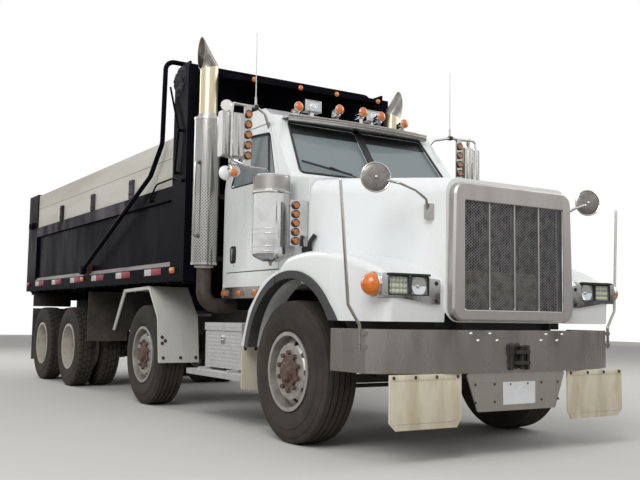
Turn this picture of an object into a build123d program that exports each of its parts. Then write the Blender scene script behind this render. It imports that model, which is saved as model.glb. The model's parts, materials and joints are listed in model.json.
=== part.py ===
from build123d import *
from math import atan2, cos, degrees, hypot, radians, sin
import os

# Frame: X forward, Y to the left, Z up, millimetres.
# Origin: under the middle of the whole truck, on the ground.

# Driving sizes of the whole truck
overall_length = 9570
front_overhang = 1270
hitch_reach = 58
lift_axle_back = 3210
drive_axle_back = 5877
drive_axle_spacing = 1354
body_width = 2440
cab_width = 1900

# Stations along the truck, counted from the middle
nose_x = overall_length / 2
tail_x = -overall_length / 2
bumper_front_x = nose_x - hitch_reach
front_axle_x = nose_x - front_overhang
lift_axle_x = front_axle_x - lift_axle_back
drive_axle_xs = [front_axle_x - drive_axle_back, front_axle_x - drive_axle_back - drive_axle_spacing]

# Tyres and wheels
front_tyre_radius = 540
lift_tyre_radius = 530
drive_tyre_radius = 522
wide_tyre_width = 315
drive_tyre_width = 252
dual_spacing = 330
rim_flange_radius = 300
rim_wall = 14
front_rim_face_y = 1210
lift_rim_face_y = 1160
drive_rim_face_y = 1204
hub_radius = 118
hand_hole_count = 10
hand_hole_radius = 26
wheel_bore_gap = 0.5

# Chassis rails
rail_top_z = 1010
rail_height = 270
rail_flange = 90
rail_wall = 10
rail_outer_y = 430
rail_front_x = bumper_front_x - 100
bed_hinge_z = 1100
bed_hinge_x = tail_x + 420

# Clearances
door_gap = 8

# Bumper, valance and hitch
bumper_top_z = 880
bumper_bottom_z = 585
bumper_sheet = 8
bumper_side_y = 1215
bumper_corner_back = 215
bumper_end_back = 600
bumper_flange = 55

# Hood, grille and lamps
hood_pivot_x = bumper_front_x - 48
hood_pivot_z = 920
hood_rear_x = front_axle_x - 200
hood_wall = 12
hood_bottom_z = 932
grille_face_x = bumper_front_x - 15
grille_half_width = 600
grille_top_z = 1915
grille_bottom_z = 940
grille_depth = 60
opening_half_width = 490
opening_bottom_z = 1016
opening_top_z = 1790
hood_top_front_z = 1950
hood_top_rear_z = 2095
hood_half_width_front = 610
hood_half_width_rear = cab_width / 2 - 45
fender_half_width = 1195
fender_top_z = 1445
fender_corner = 54
arch_radius = 665
flare_width = 62
flare_wall = 22

# Cab
cab_front_x = hood_rear_x - 12
cab_rear_x = front_axle_x - 1700
cab_bottom_z = 1220
cowl_top_z = 2125
roof_edge_z = 2740
roof_top_z = 2850
cab_wall = 45
glass_thickness = 8
door_front_x = front_axle_x - 622
door_rear_x = front_axle_x - 1646
door_bottom_z = 1350
door_top_z = 2680
door_wall = 48
sill_z = 2140

# Bed
bed_front_x = front_axle_x - 2020
bed_rear_x = tail_x + 70
bed_half_width = body_width / 2
bed_floor_z = 1290
bed_sill_top_z = 1440
bed_rail_bottom_z = 2110
bed_rail_top_z = 2250
board_top_z = 2750
bed_wall = 50
bed_sheet = 8
bed_front_top_z = 3330

os.makedirs("parts", exist_ok=True)


# Planes whose first axis is X or Y of the truck
def side_plane(y):
    return Plane.XZ.offset(-y)


def cross_plane(x):
    return Plane.YZ.offset(x)


def level_plane(z):
    return Plane.XY.offset(z)


# A flat piece cut to an outline of corner points, as thick as given, centred on its plane
def plate(points, plane, thickness, corner=0):
    with BuildPart() as piece:
        with BuildSketch(plane) as sketch:
            with BuildLine():
                Polyline(*points, close=True)
            make_face()
            if corner:
                fillet(sketch.vertices(), corner)
        extrude(amount=thickness / 2, both=True)
    return piece.part


# A rectangular bar between two corners
def block(x, y, z, corner=0):
    with BuildPart() as piece:
        with Locations(((x[0] + x[1]) / 2, (y[0] + y[1]) / 2, (z[0] + z[1]) / 2)):
            Box(abs(x[1] - x[0]), abs(y[1] - y[0]), abs(z[1] - z[0]))
        if corner:
            fillet(piece.edges().filter_by(Axis.Y), corner)
    return piece.part


# A round bar or tube along a path of straight runs with rounded bends
def tube(points, radius, bend=0, bore=0):
    with BuildPart() as piece:
        with BuildLine() as path:
            if bend and len(points) > 2:
                FilletPolyline(*points, radius=bend)
            else:
                Polyline(*points)
        with BuildSketch(Plane(origin=path.line @ 0, z_dir=path.line % 0)):
            Circle(radius)
            if bore:
                Circle(bore, mode=Mode.SUBTRACT)
        sweep(path=path.line, transition=Transition.RIGHT)
    return piece.part


# A round bar along one of the axes, centred on a point
def pin(centre, direction, radius, length, bore=0):
    with BuildPart() as piece:
        with BuildSketch(Plane(origin=centre, z_dir=direction)):
            Circle(radius)
            if bore:
                Circle(bore, mode=Mode.SUBTRACT)
        extrude(amount=length / 2, both=True)
    return piece.part


# The same piece on both sides of the truck
def both_sides(shape):
    with BuildPart() as pair:
        add(shape)
        mirror(about=Plane.XZ)
    return pair.part


def save(shape, name):
    shape.label = name
    export_step(shape, "parts/" + name + ".step")


# Wheels: name, axle x, tyre radius, tyre width, rim width, rim face y, twin
wheel_stations = [
    ("front", front_axle_x, front_tyre_radius, wide_tyre_width, 300, front_rim_face_y, False),
    ("lift", lift_axle_x, lift_tyre_radius, wide_tyre_width, 300, lift_rim_face_y, False),
    ("drive_1", drive_axle_xs[0], drive_tyre_radius, drive_tyre_width, 230, drive_rim_face_y, True),
    ("drive_2", drive_axle_xs[1], drive_tyre_radius, drive_tyre_width, 230, drive_rim_face_y, True),
]
seat_radius = rim_flange_radius - 14
drum_radius = 205
drum_wall = 12
nut_circle_radius = 143
nut_radius = 19
spindle_radius = 45


# A profile given as distances inward from the rim face and radii, turned about the axle
def turned(profile, x, face_y, z):
    wheel_plane = Plane(origin=(x, face_y, z), x_dir=(0, -1, 0), z_dir=(-1, 0, 0))
    with BuildPart() as piece:
        with BuildSketch(wheel_plane):
            with BuildLine():
                Polyline(*profile, close=True)
            make_face()
        revolve(axis=Axis((x, face_y, z), (0, 1, 0)))
    return piece.part


def tyre_profile(middle, radius, width):
    half = width / 2
    right = [
        (half - 34, seat_radius),
        (half, (radius + seat_radius) / 2 + 10),
        (half - 24, radius - 24),
        (half - 48, radius),
    ]
    left = [(-u, r) for u, r in reversed(right)]
    return [(middle + u, r) for u, r in right + left]


def barrel_profile(start, width):
    inner = seat_radius - rim_wall
    return [
        (start, inner),
        (start, rim_flange_radius),
        (start + 12, rim_flange_radius),
        (start + 16, seat_radius),
        (start + width - 16, seat_radius),
        (start + width - 12, rim_flange_radius),
        (start + width, rim_flange_radius),
        (start + width, inner),
    ]


# The disc runs from the barrel to the hub, flat where the nuts clamp it
def disc_profile(barrel_u, flat_u, thickness):
    inner = seat_radius - rim_wall
    shoulder = inner - 62
    return [
        (barrel_u, inner + 2),
        (flat_u, shoulder),
        (flat_u, hub_radius - 20),
        (flat_u + thickness, hub_radius - 20),
        (flat_u + thickness, shoulder + 6),
        (barrel_u + thickness * 1.2, inner + 2),
    ]


def hub_profile(cap_u, end_u):
    bore = spindle_radius + wheel_bore_gap
    return [
        (cap_u, 0),
        (cap_u, 62),
        (cap_u + 16, 74),
        (cap_u + 34, 78),
        (cap_u + 36, hub_radius),
        (end_u, hub_radius),
        (end_u, bore),
        (cap_u + 30, bore),
        (cap_u + 30, 0),
    ]


def drum_profile(start, end, web_u):
    return [
        (web_u, hub_radius - 10),
        (web_u, drum_radius - 14),
        (start, drum_radius),
        (end, drum_radius),
        (end, drum_radius - drum_wall),
        (web_u + drum_wall, drum_radius - drum_wall),
        (web_u + drum_wall, hub_radius - 10),
    ]


def wheel(x, face_y, z, rim_width, twin):
    with BuildPart() as rim:
        add(turned(barrel_profile(0, rim_width), x, face_y, z))
        if twin:
            joint_u = rim_width / 2 + dual_spacing / 2
            add(turned(barrel_profile(dual_spacing, rim_width), x, face_y, z))
            add(turned(disc_profile(joint_u - 64, joint_u - 16, 16), x, face_y, z))
            add(turned(disc_profile(joint_u + 64 - 19, joint_u, 16), x, face_y, z))
            add(turned(hub_profile(86, 400), x, face_y, z))
            add(turned(drum_profile(402, 548, 386), x, face_y, z))
            nut_face_u = joint_u - 16
        else:
            add(turned(disc_profile(96, 24, 16), x, face_y, z))
            add(turned(hub_profile(-28, 222), x, face_y, z))
            add(turned(drum_profile(150, 286, 136), x, face_y, z))
            nut_face_u = 24
        nut_plane = Plane(origin=(x, face_y - nut_face_u, z), z_dir=(0, 1, 0))
        with BuildSketch(nut_plane.offset(-4)):
            with PolarLocations(nut_circle_radius, 10):
                RegularPolygon(nut_radius, 6)
        extrude(amount=30)
        hole_plane = Plane(origin=(x, face_y + 40, z), z_dir=(0, -1, 0))
        hole_depth = nut_face_u + 90
        with BuildSketch(hole_plane):
            with PolarLocations(seat_radius - rim_wall - 42, hand_hole_count, start_angle=18):
                Circle(hand_hole_radius)
        extrude(amount=hole_depth, mode=Mode.SUBTRACT)
    return rim.part


for name, x, radius, width, rim_width, face_y, twin in wheel_stations:
    with BuildPart() as tyre:
        add(turned(tyre_profile(rim_width / 2, radius, width), x, face_y, radius))
        if twin:
            add(turned(tyre_profile(rim_width / 2 + dual_spacing, radius, width), x, face_y, radius))
    rim = wheel(x, face_y, radius, rim_width, twin)
    for side, sign in (("left", 1), ("right", -1)):
        for piece, label in ((tyre.part, "tyre_"), (rim, "rim_")):
            with BuildPart() as placed:
                add(piece if sign > 0 else mirror(piece, about=Plane.XZ, mode=Mode.PRIVATE))
            save(placed.part, label + name + "_" + side)


# Chassis rails: open channels facing each other, tied by cross members
rail_inner_y = rail_outer_y - rail_flange
rail_bottom_z = rail_top_z - rail_height
hoist_x = bed_front_x - 180
hoist_z = 980
barrel_radius = 100
trunnion_radius = 30
cradle_plate = 24
rail_end_x = bed_hinge_x + 110
cross_member_xs = [rail_front_x - 60, front_axle_x - 1680, lift_axle_x + 520, lift_axle_x - 620,
                   drive_axle_xs[0] + 420, rail_end_x + 160]
coupling_z = 880
coupling_spacing = (86, 44)
coupling_hole_radius = 7
pivot_plate = 25
hinge_pin_radius = 30
with BuildPart() as rails:
    with BuildSketch(cross_plane(rail_end_x)):
        with BuildLine():
            Polyline(
                (rail_outer_y, rail_bottom_z),
                (rail_outer_y, rail_top_z),
                (rail_inner_y, rail_top_z),
                (rail_inner_y, rail_top_z - rail_wall),
                (rail_outer_y - rail_wall, rail_top_z - rail_wall),
                (rail_outer_y - rail_wall, rail_bottom_z + rail_wall),
                (rail_inner_y, rail_bottom_z + rail_wall),
                (rail_inner_y, rail_bottom_z),
                close=True,
            )
        make_face()
    extrude(amount=rail_front_x - rail_end_x)
    mirror(about=Plane.XZ)
    for x in cross_member_xs:
        web_y = rail_outer_y - rail_wall
        add(block((x - 60, x + 60), (-web_y, web_y), (rail_top_z - 40, rail_top_z - 28)))
        add(block((x - 6, x + 6), (-web_y, web_y), (rail_bottom_z + 30, rail_top_z - 30)))
    # Beams fore and aft of the hoist, with the plates that hold its trunnions
    for x in (hoist_x + 300, hoist_x - 300):
        add(block((x - 40, x + 40), (-(rail_outer_y - rail_wall), rail_outer_y - rail_wall), (800, 920)))
    for y in (160, -160):
        outline = [(hoist_x - 300, 800), (hoist_x + 300, 800), (hoist_x + 300, 900), (hoist_x + 70, 1040),
                   (hoist_x - 70, 1040), (hoist_x - 300, 900)]
        add(plate(outline, side_plane(y), cradle_plate))
    add(pin((hoist_x, 0, hoist_z), (0, 1, 0), trunnion_radius + 0.5, 2 * 200), mode=Mode.SUBTRACT)
    # Plate across the rails' rear ends, drilled for a coupling
    add(block((rail_end_x, rail_end_x + 14), (-(rail_outer_y - rail_wall), rail_outer_y - rail_wall),
              (rail_bottom_z + 20, rail_top_z - 20)))
    with BuildSketch(cross_plane(rail_end_x)):
        with Locations((0, coupling_z)):
            with GridLocations(coupling_spacing[0], coupling_spacing[1], 2, 2):
                Circle(coupling_hole_radius)
    extrude(amount=14, mode=Mode.SUBTRACT)
    # Plates that carry the bed's hinge pin behind the rails
    for sign in (1, -1):
        outline = [(rail_end_x + 330, rail_bottom_z + 40), (rail_end_x + 330, rail_top_z - 30),
                   (bed_hinge_x + 48, bed_hinge_z + 36), (bed_hinge_x + 30, bed_hinge_z + 48),
                   (bed_hinge_x - 30, bed_hinge_z + 48), (bed_hinge_x - 48, bed_hinge_z + 30),
                   (bed_hinge_x - 48, bed_hinge_z - 40), (rail_end_x, rail_bottom_z + 40)]
        add(plate(outline, side_plane(sign * (rail_outer_y + pivot_plate / 2)), pivot_plate))
    add(pin((bed_hinge_x, 0, bed_hinge_z), (0, 1, 0), hinge_pin_radius, 2 * (rail_outer_y + pivot_plate + 12)))
save(rails.part, "chassis_rails")


# Front axle beam with kingpin bosses, on leaf springs below the rails
kingpin_y = 900
kingpin_radius = 22
boss_radius = 40
beam_z = (440, 505)
boss_z = (488, 592)
spring_y = 400
spring_width = 80
spring_half_length = 620
with BuildPart() as front_axle:
    outline = [(-kingpin_y + 20, boss_z[1] - 8), (-kingpin_y + 20, boss_z[0] + 8), (-760, boss_z[0]),
               (-640, beam_z[0]), (640, beam_z[0]), (760, boss_z[0]), (kingpin_y - 20, boss_z[0] + 8),
               (kingpin_y - 20, boss_z[1] - 8), (740, boss_z[1] - 8), (620, beam_z[1]), (-620, beam_z[1]),
               (-740, boss_z[1] - 8)]
    add(plate(outline, cross_plane(front_axle_x), 76))
    for y in (kingpin_y, -kingpin_y):
        add(pin((front_axle_x, y, sum(boss_z) / 2), (0, 0, 1), boss_radius, boss_z[1] - boss_z[0]))
        add(pin((front_axle_x, y, sum(boss_z) / 2), (0, 0, 1), kingpin_radius + 0.5, 300), mode=Mode.SUBTRACT)
    for y in (spring_y, -spring_y):
        add(block((front_axle_x - 110, front_axle_x + 110), (y - 50, y + 50), (beam_z[1] - 20, beam_z[1] + 60)))
        with BuildSketch(side_plane(y)):
            with BuildLine():
                ThreePointArc((front_axle_x - spring_half_length, 700), (front_axle_x, 560),
                              (front_axle_x + spring_half_length, 700))
                Line((front_axle_x + spring_half_length, 700), (front_axle_x + spring_half_length, 712))
                ThreePointArc((front_axle_x + spring_half_length, 712), (front_axle_x, 610),
                              (front_axle_x - spring_half_length, 712))
                Line((front_axle_x - spring_half_length, 712), (front_axle_x - spring_half_length, 700))
            make_face()
        extrude(amount=spring_width / 2, both=True)
        for end in (-1, 1):
            eye_x = front_axle_x + end * (spring_half_length + 10)
            add(pin((eye_x, y, 706), (0, 1, 0), 28, spring_width))
            outline = [(eye_x - 40, rail_bottom_z), (eye_x + 40, rail_bottom_z), (eye_x + 22, 690),
                       (eye_x - 22, 690)]
            add(plate(outline, side_plane(y), spring_width + 24))
save(front_axle.part, "front_axle")

# Steering knuckles: a fork round the beam's end, a spindle for the hub and an arm for the tie rod
knuckle_gap = 8
spindle_end_u = 4
arm_z = (435, 462)
arm_reach = 200
tie_end_y = kingpin_y - 60
with BuildPart() as knuckle:
    for low, high in ((430, boss_z[0] - knuckle_gap), (boss_z[1] + knuckle_gap, 650)):
        add(pin((front_axle_x, kingpin_y, (low + high) / 2), (0, 0, 1), 46, high - low))
        add(block((front_axle_x - 46, front_axle_x + 46), (kingpin_y, kingpin_y + 76), (low, high)))
    add(block((front_axle_x - 62, front_axle_x + 62), (kingpin_y + 54, kingpin_y + 78), (430, 650)))
    add(pin((front_axle_x, kingpin_y, 540), (0, 0, 1), kingpin_radius, 220))
    spindle_start = kingpin_y + 60
    spindle_end = front_rim_face_y - spindle_end_u
    middle = (spindle_start + spindle_end) / 2
    add(pin((front_axle_x, middle, front_tyre_radius), (0, 1, 0), spindle_radius, spindle_end - spindle_start))
    outline = [(front_axle_x - 10, kingpin_y + 46), (front_axle_x - arm_reach, kingpin_y - 30),
               (front_axle_x - arm_reach - 28, tie_end_y), (front_axle_x - arm_reach, kingpin_y - 90),
               (front_axle_x - 20, tie_end_y)]
    add(plate(outline, level_plane(sum(arm_z) / 2), arm_z[1] - arm_z[0]))
save(knuckle.part, "knuckle_left")
save(mirror(knuckle.part, about=Plane.XZ), "knuckle_right")

# Tie rod between the arms' ends, just below them
tie_z = arm_z[0] - 38
with BuildPart() as tie_rod:
    add(pin((front_axle_x - arm_reach, 0, tie_z), (0, 1, 0), 17, 2 * tie_end_y))
    for y in (tie_end_y, -tie_end_y):
        add(pin((front_axle_x - arm_reach, y, tie_z + 4), (0, 0, 1), 20, 44))
save(tie_rod.part, "tie_rod")

# Lift axle: a round tube with spindles, swung on two arms below air bags
with BuildPart() as lift_axle:
    hub_end = lift_rim_face_y - 300
    add(pin((lift_axle_x, 0, lift_tyre_radius), (0, 1, 0), 66, 2 * (hub_end - 20)))
    add(pin((lift_axle_x, 0, lift_tyre_radius), (0, 1, 0), spindle_radius, 2 * (lift_rim_face_y - spindle_end_u)))
    for y in (spring_y, -spring_y):
        outline = [(lift_axle_x - 90, 470), (lift_axle_x + 60, 450), (lift_axle_x + 420, 600),
                   (lift_axle_x + 480, rail_bottom_z), (lift_axle_x + 400, rail_bottom_z),
                   (lift_axle_x + 340, 650), (lift_axle_x + 60, 600), (lift_axle_x - 90, 590)]
        add(plate(outline, side_plane(y), 50))
        with BuildSketch(level_plane(590)):
            with Locations((lift_axle_x - 30, y)):
                Circle(95)
        extrude(amount=rail_bottom_z - 590)

# Drive axles: housings with round differential cases, walking beams between them
beam_y = 480
with BuildPart() as drive_axles:
    axle_z = drive_tyre_radius
    for x in drive_axle_xs:
        add(pin((x, 0, axle_z), (0, 1, 0), 70, 2 * 640))
        add(pin((x, 0, axle_z), (0, 1, 0), spindle_radius, 2 * (drive_rim_face_y - 122)))
        with BuildSketch(cross_plane(x)):
            with Locations((0, axle_z)):
                Circle(205)
        extrude(amount=105, both=True)
        with BuildSketch(cross_plane(x)):
            with Locations((0, axle_z)):
                Circle(120)
        extrude(amount=330, taper=8)
    x_front, x_rear = drive_axle_xs
    x_mid = (x_front + x_rear) / 2
    for y in (beam_y, -beam_y):
        outline = [(x_rear - 80, axle_z - 150), (x_mid - 150, axle_z - 190), (x_mid + 150, axle_z - 190),
                   (x_front + 80, axle_z - 150), (x_front + 80, axle_z - 40), (x_mid + 140, axle_z - 70),
                   (x_mid - 140, axle_z - 70), (x_rear - 80, axle_z - 40)]
        add(plate(outline, side_plane(y), 90))
        outline = [(x_mid - 90, axle_z - 130), (x_mid + 90, axle_z - 130), (x_mid + 190, rail_bottom_z),
                   (x_mid - 190, rail_bottom_z)]
        add(plate(outline, side_plane(y * 0.92), 60))
    add(pin((x_mid, 0, axle_z - 130), (0, 1, 0), 50, 2 * beam_y))
    shaft_end = front_axle_x - 1560
    add(tube([(x_front + 300, 0, axle_z), (x_front + 900, 0, axle_z + 110), (shaft_end, 0, 700)], 55, 400))
    add(tube([(x_front - 100, 0, axle_z + 40), (x_rear + 300, 0, axle_z)], 45))
with BuildPart() as rear_axles:
    add(lift_axle.part)
    add(drive_axles.part)
save(rear_axles.part, "rear_axles")

# Engine, gearbox and radiator as plain blocks at their real places
engine_front_x = bumper_front_x - 390
engine_rear_x = front_axle_x - 190
with BuildPart() as engine:
    add(block((engine_rear_x, engine_front_x), (-290, 290), (600, 1040)))
    add(block((engine_rear_x, engine_front_x - 40), (-360, 360), (1030, 1610)))
    add(tube([(engine_rear_x + 40, 0, 830), (engine_rear_x - 260, 0, 830)], 290))
    add(tube([(engine_rear_x - 240, 0, 810), (front_axle_x - 1560, 0, 760)], 190))
    add(block((bumper_front_x - 300, bumper_front_x - 200), (-430, 430), (rail_top_z + 4, 1830)))
    with BuildSketch(cross_plane(bumper_front_x - 300)):
        with Locations((0, 1420)):
            Circle(370)
    extrude(amount=-50)
save(engine.part, "engine_and_radiator")

# Front bumper: a polished channel bent back at the corners, with its valance and tow hitch
bumper_height = bumper_top_z - bumper_bottom_z
bumper_flat_y = 480


# The bumper's plan: flat in the middle, then an arc, then a straight return, at a distance behind its face
def bumper_plan(inset, depth):
    front = bumper_front_x - inset
    turn = (bumper_front_x - bumper_corner_back - inset / 2, bumper_side_y - 25 - inset)
    end = (bumper_front_x - bumper_end_back, bumper_side_y - inset)
    with BuildSketch(level_plane(bumper_bottom_z)) as plan:
        with BuildLine():
            outer_1 = Line((front, 0), (front, bumper_flat_y))
            outer_2 = TangentArc(outer_1 @ 1, (front - 150, bumper_side_y - 110 - inset), tangent=(0, 1))
            outer_3 = Line(outer_2 @ 1, turn)
            Line(turn, end)
            Line(end, (end[0], end[1] - depth))
            Line((end[0], end[1] - depth), (turn[0] - depth * 0.2, turn[1] - depth))
            Line((turn[0] - depth * 0.2, turn[1] - depth), (front - 150 - depth * 0.6, bumper_side_y - 110
                                                            - inset - depth * 0.75))
            Line((front - 150 - depth * 0.6, bumper_side_y - 110 - inset - depth * 0.75),
                 (front - depth, bumper_flat_y - 20))
            Line((front - depth, bumper_flat_y - 20), (front - depth, 0))
            Line((front - depth, 0), (front, 0))
        make_face()
    return plan.sketch


with BuildPart() as bumper_half:
    add(bumper_plan(0, bumper_sheet))
    extrude(amount=bumper_height)
    for z in (bumper_bottom_z, bumper_top_z - bumper_sheet):
        add(bumper_plan(0, bumper_flange).moved(Location((0, 0, z - bumper_bottom_z))))
        extrude(amount=bumper_sheet)
with BuildPart() as bumper:
    add(both_sides(bumper_half.part))
    # Brackets back to the rails
    for y in (330, -330):
        add(block((rail_front_x, bumper_front_x - bumper_sheet), (y - 60, y + 60), (rail_bottom_z + 20, 830)))

# Valance below the bumper with a bare plate's place, and the tow hitch through the bumper
valance_x = bumper_front_x - 16
valance_sheet = 10
tow_pin_radius = 16
tow_z = 690
with bumper:
    outline = [(-381, 317), (381, 317), (485, bumper_bottom_z), (-485, bumper_bottom_z)]
    add(plate(outline, cross_plane(valance_x), valance_sheet, 18))
    for y in (300, -300):
        add(plate([(valance_x - 120, bumper_bottom_z), (valance_x, bumper_bottom_z), (valance_x, 360)],
                  side_plane(y), 8))
tow_pin_x = nose_x - 28
jaw_gap = 52
jaw_thickness = 24
with bumper:
    add(block((bumper_front_x, bumper_front_x + 8), (-105, 105), (tow_z - 78, tow_z + 78)))
    for z in (tow_z - (jaw_gap + jaw_thickness) / 2, tow_z + (jaw_gap + jaw_thickness) / 2):
        add(block((bumper_front_x, nose_x), (-62, 62), (z - jaw_thickness / 2, z + jaw_thickness / 2)))
    add(pin((tow_pin_x, 0, tow_z), (0, 0, 1), tow_pin_radius, 160), mode=Mode.SUBTRACT)

# Guide poles on the bumper's corners
pole_radius = 11
pole_x = bumper_front_x - 225
with BuildPart() as pole:
    foot = (pole_x, bumper_side_y + 14, 735)
    path = [foot, (pole_x, bumper_side_y + 14, 905), (pole_x - 5, bumper_side_y + 105, 1040),
            (pole_x - 20, 1383, 1880)]
    add(tube(path, pole_radius, 40))
    add(block((pole_x - 22, pole_x + 22), (bumper_side_y - 40, bumper_side_y + 14), (750, 780)))
    add(block((pole_x - 22, pole_x + 22), (bumper_side_y - 40, bumper_side_y + 14), (840, 870)))
with bumper:
    add(both_sides(pole.part))
save(bumper.part, "front_bumper")

# Mud flaps: below the bumper, behind the front wheels and behind the drive wheels
flap_sheet = 12
front_flap_x = bumper_front_x - 24
side_flap_x = front_axle_x - 800
rear_flap_x = drive_axle_xs[1] - drive_tyre_radius - 60
guard_x = drive_axle_xs[0] + drive_tyre_radius + 190
with BuildPart() as flaps:
    outline = [(560, 225), (1080, 225), (1132, 275), (1132, bumper_bottom_z), (521, bumper_bottom_z),
               (521, 285)]
    add(plate(outline, cross_plane(front_flap_x), flap_sheet))
    outline = [(930, 340), (1190, 340), (1190, 700), (930, 700)]
    add(plate(outline, cross_plane(side_flap_x), flap_sheet, 20))
    outline = [(625, 260), (1205, 260), (1205, 900), (625, 900)]
    add(plate(outline, cross_plane(rear_flap_x), flap_sheet))
    add(block((rear_flap_x - 25, rear_flap_x - 6), (rail_outer_y + pivot_plate, 1200), (850, 900)))
    add(block((side_flap_x - 30, side_flap_x - 6), (rail_outer_y, 1180), (660, 700)))
    # Bare panels hung on bars ahead of the drive wheels
    add(plate([(640, 610), (1165, 610), (1165, 1240), (640, 1240)], cross_plane(guard_x), flap_sheet, 20))
    add(block((guard_x - 30, guard_x - 6), (rail_outer_y, 1160), (900, 950)))


# Hood: a nose lofted from the grille back to the cowl over broad fenders, as a shell
def nose_section(x, half_width, bottom_z, top_z, corner):
    with BuildSketch(cross_plane(x)) as section:
        with BuildLine():
            Polyline((-half_width, bottom_z), (-half_width, top_z), (half_width, top_z),
                     (half_width, bottom_z), close=True)
        make_face()
        fillet(section.vertices().group_by(Axis.Z)[-1], corner)
    return section.sketch


# The fender's side outline from the cowl over the wheel to the nose
def fender_solid(inset, rear_x):
    low = hood_bottom_z - (100 if inset else 0)
    with BuildPart() as fender:
        with BuildSketch(Plane.XZ):
            with BuildLine():
                crown = ThreePointArc(
                    (front_axle_x - 40, 1423 - inset),
                    (front_axle_x + 340, fender_top_z - inset),
                    (front_axle_x + 1060 - inset, 1262 - inset),
                )
                rear_end = (rear_x, 1330 - inset - (hood_rear_x - rear_x))
                TangentArc(crown @ 0, rear_end, tangent=(crown % 0) * -1)
                front_end = (front_axle_x + 1122 - inset, 1150)
                TangentArc(crown @ 1, front_end, tangent=crown % 1)
                Polyline(front_end, (front_axle_x + 1105 - inset, low), (rear_x, low), rear_end)
            make_face()
        extrude(amount=fender_half_width - inset, both=True)
        # The plan narrows towards the headlamps
        for sign in (1, -1):
            wide = sign * (fender_half_width + 60)
            narrow = sign * (1075 - inset)
            outline = [(front_axle_x + 560, sign * (fender_half_width - inset)), (front_axle_x + 1180, narrow),
                       (front_axle_x + 1180, wide), (front_axle_x + 560, wide)]
            add(plate(outline, level_plane(1200), 1400), mode=Mode.SUBTRACT)
        top_edges = fender.edges().filter_by(
            lambda edge: abs(edge.center().Y) > 1000 and edge.center().Z > 1290 and abs(edge.tangent_at(0).Y) < 0.5
        )
        fillet(top_edges, fender_corner - inset)
    return fender.part


def nose_solid(inset, rear_x):
    drop = 100 if inset else 0
    with BuildPart() as nose:
        add(nose_section(rear_x, hood_half_width_rear - inset, hood_bottom_z - drop,
                         hood_top_rear_z - inset, 150 - inset))
        add(nose_section(bumper_front_x - 80 - inset, hood_half_width_front - inset, hood_bottom_z - drop,
                         hood_top_front_z - inset, 120 - inset))
        loft()
    return nose.part


lamp_face_x = front_axle_x + 1124
lamp_back_x = front_axle_x + 1010
lamp_y = (742, 1150)
lamp_z = (1092, 1255)
lens_ys = [(758, 908), (922, 1092)]
lens_z = (1112, 1238)
arch_y = 610
arch_centre = (front_axle_x + 10, front_tyre_radius + 40)
flare_y = (1130, 1218)
with BuildPart() as hood_half:
    add(fender_solid(0, hood_rear_x))
    add(nose_solid(0, hood_rear_x))
    add(block((hood_rear_x - 100, nose_x), (0, 1300), (800, 2200)), mode=Mode.INTERSECT)
    # The hollow runs out through the bottom and the rear
    add(fender_solid(hood_wall, hood_rear_x - 40), mode=Mode.SUBTRACT)
    add(nose_solid(hood_wall, hood_rear_x - 40), mode=Mode.SUBTRACT)
    # The wheel arch and the seat of the rubber flare
    add(pin((arch_centre[0], arch_y * 2, arch_centre[1]), (0, 1, 0), arch_radius, 2 * arch_y), mode=Mode.SUBTRACT)
    add(pin((arch_centre[0], flare_y[0] * 1.5, arch_centre[1]), (0, 1, 0), arch_radius + flare_width, flare_y[0]),
        mode=Mode.SUBTRACT)
    # The grille's opening in the nose
    add(block((bumper_front_x - 230, nose_x), (-opening_half_width, opening_half_width),
              (opening_bottom_z, opening_top_z)), mode=Mode.SUBTRACT)
    # The pocket for the headlamp
    add(block((lamp_back_x - 2, nose_x), (lamp_y[0] - 2, lamp_y[1] + 90), (lamp_z[0] - 2, lamp_z[1] + 2)),
        mode=Mode.SUBTRACT)
save(both_sides(hood_half.part), "hood")

# Grille surround with its three upright bars, standing on the nose
surround_bottom_half = 600
surround_top_half = 578
bar_width = 14
with BuildPart() as surround:
    outline = [(-surround_bottom_half, grille_bottom_z), (surround_bottom_half, grille_bottom_z),
               (surround_top_half, grille_top_z), (-surround_top_half, grille_top_z)]
    with BuildSketch(cross_plane(grille_face_x - grille_depth)) as sketch:
        with BuildLine():
            Polyline(*outline, close=True)
        make_face()
        fillet(sketch.vertices().group_by(Axis.Z)[-1], 95)
        fillet(sketch.vertices().group_by(Axis.Z)[0], 30)
    extrude(amount=grille_depth)
    chamfer(surround.faces().sort_by(Axis.X)[-1].edges(), 14)
    add(block((grille_face_x - grille_depth, grille_face_x), (-opening_half_width, opening_half_width),
              (opening_bottom_z, opening_top_z)), mode=Mode.SUBTRACT)
    for step in (-1, 0, 1):
        y = step * opening_half_width / 2
        add(block((grille_face_x - 44, grille_face_x - 16), (y - bar_width / 2, y + bar_width / 2),
                  (opening_bottom_z, opening_top_z)))
save(surround.part, "grille_surround")

# Mesh behind the bars
mesh_sheet = 5
with BuildPart() as mesh:
    add(block((grille_face_x - 44 - mesh_sheet, grille_face_x - 44),
              (-opening_half_width, opening_half_width), (opening_bottom_z, opening_top_z)))
save(mesh.part, "grille_mesh")

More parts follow.
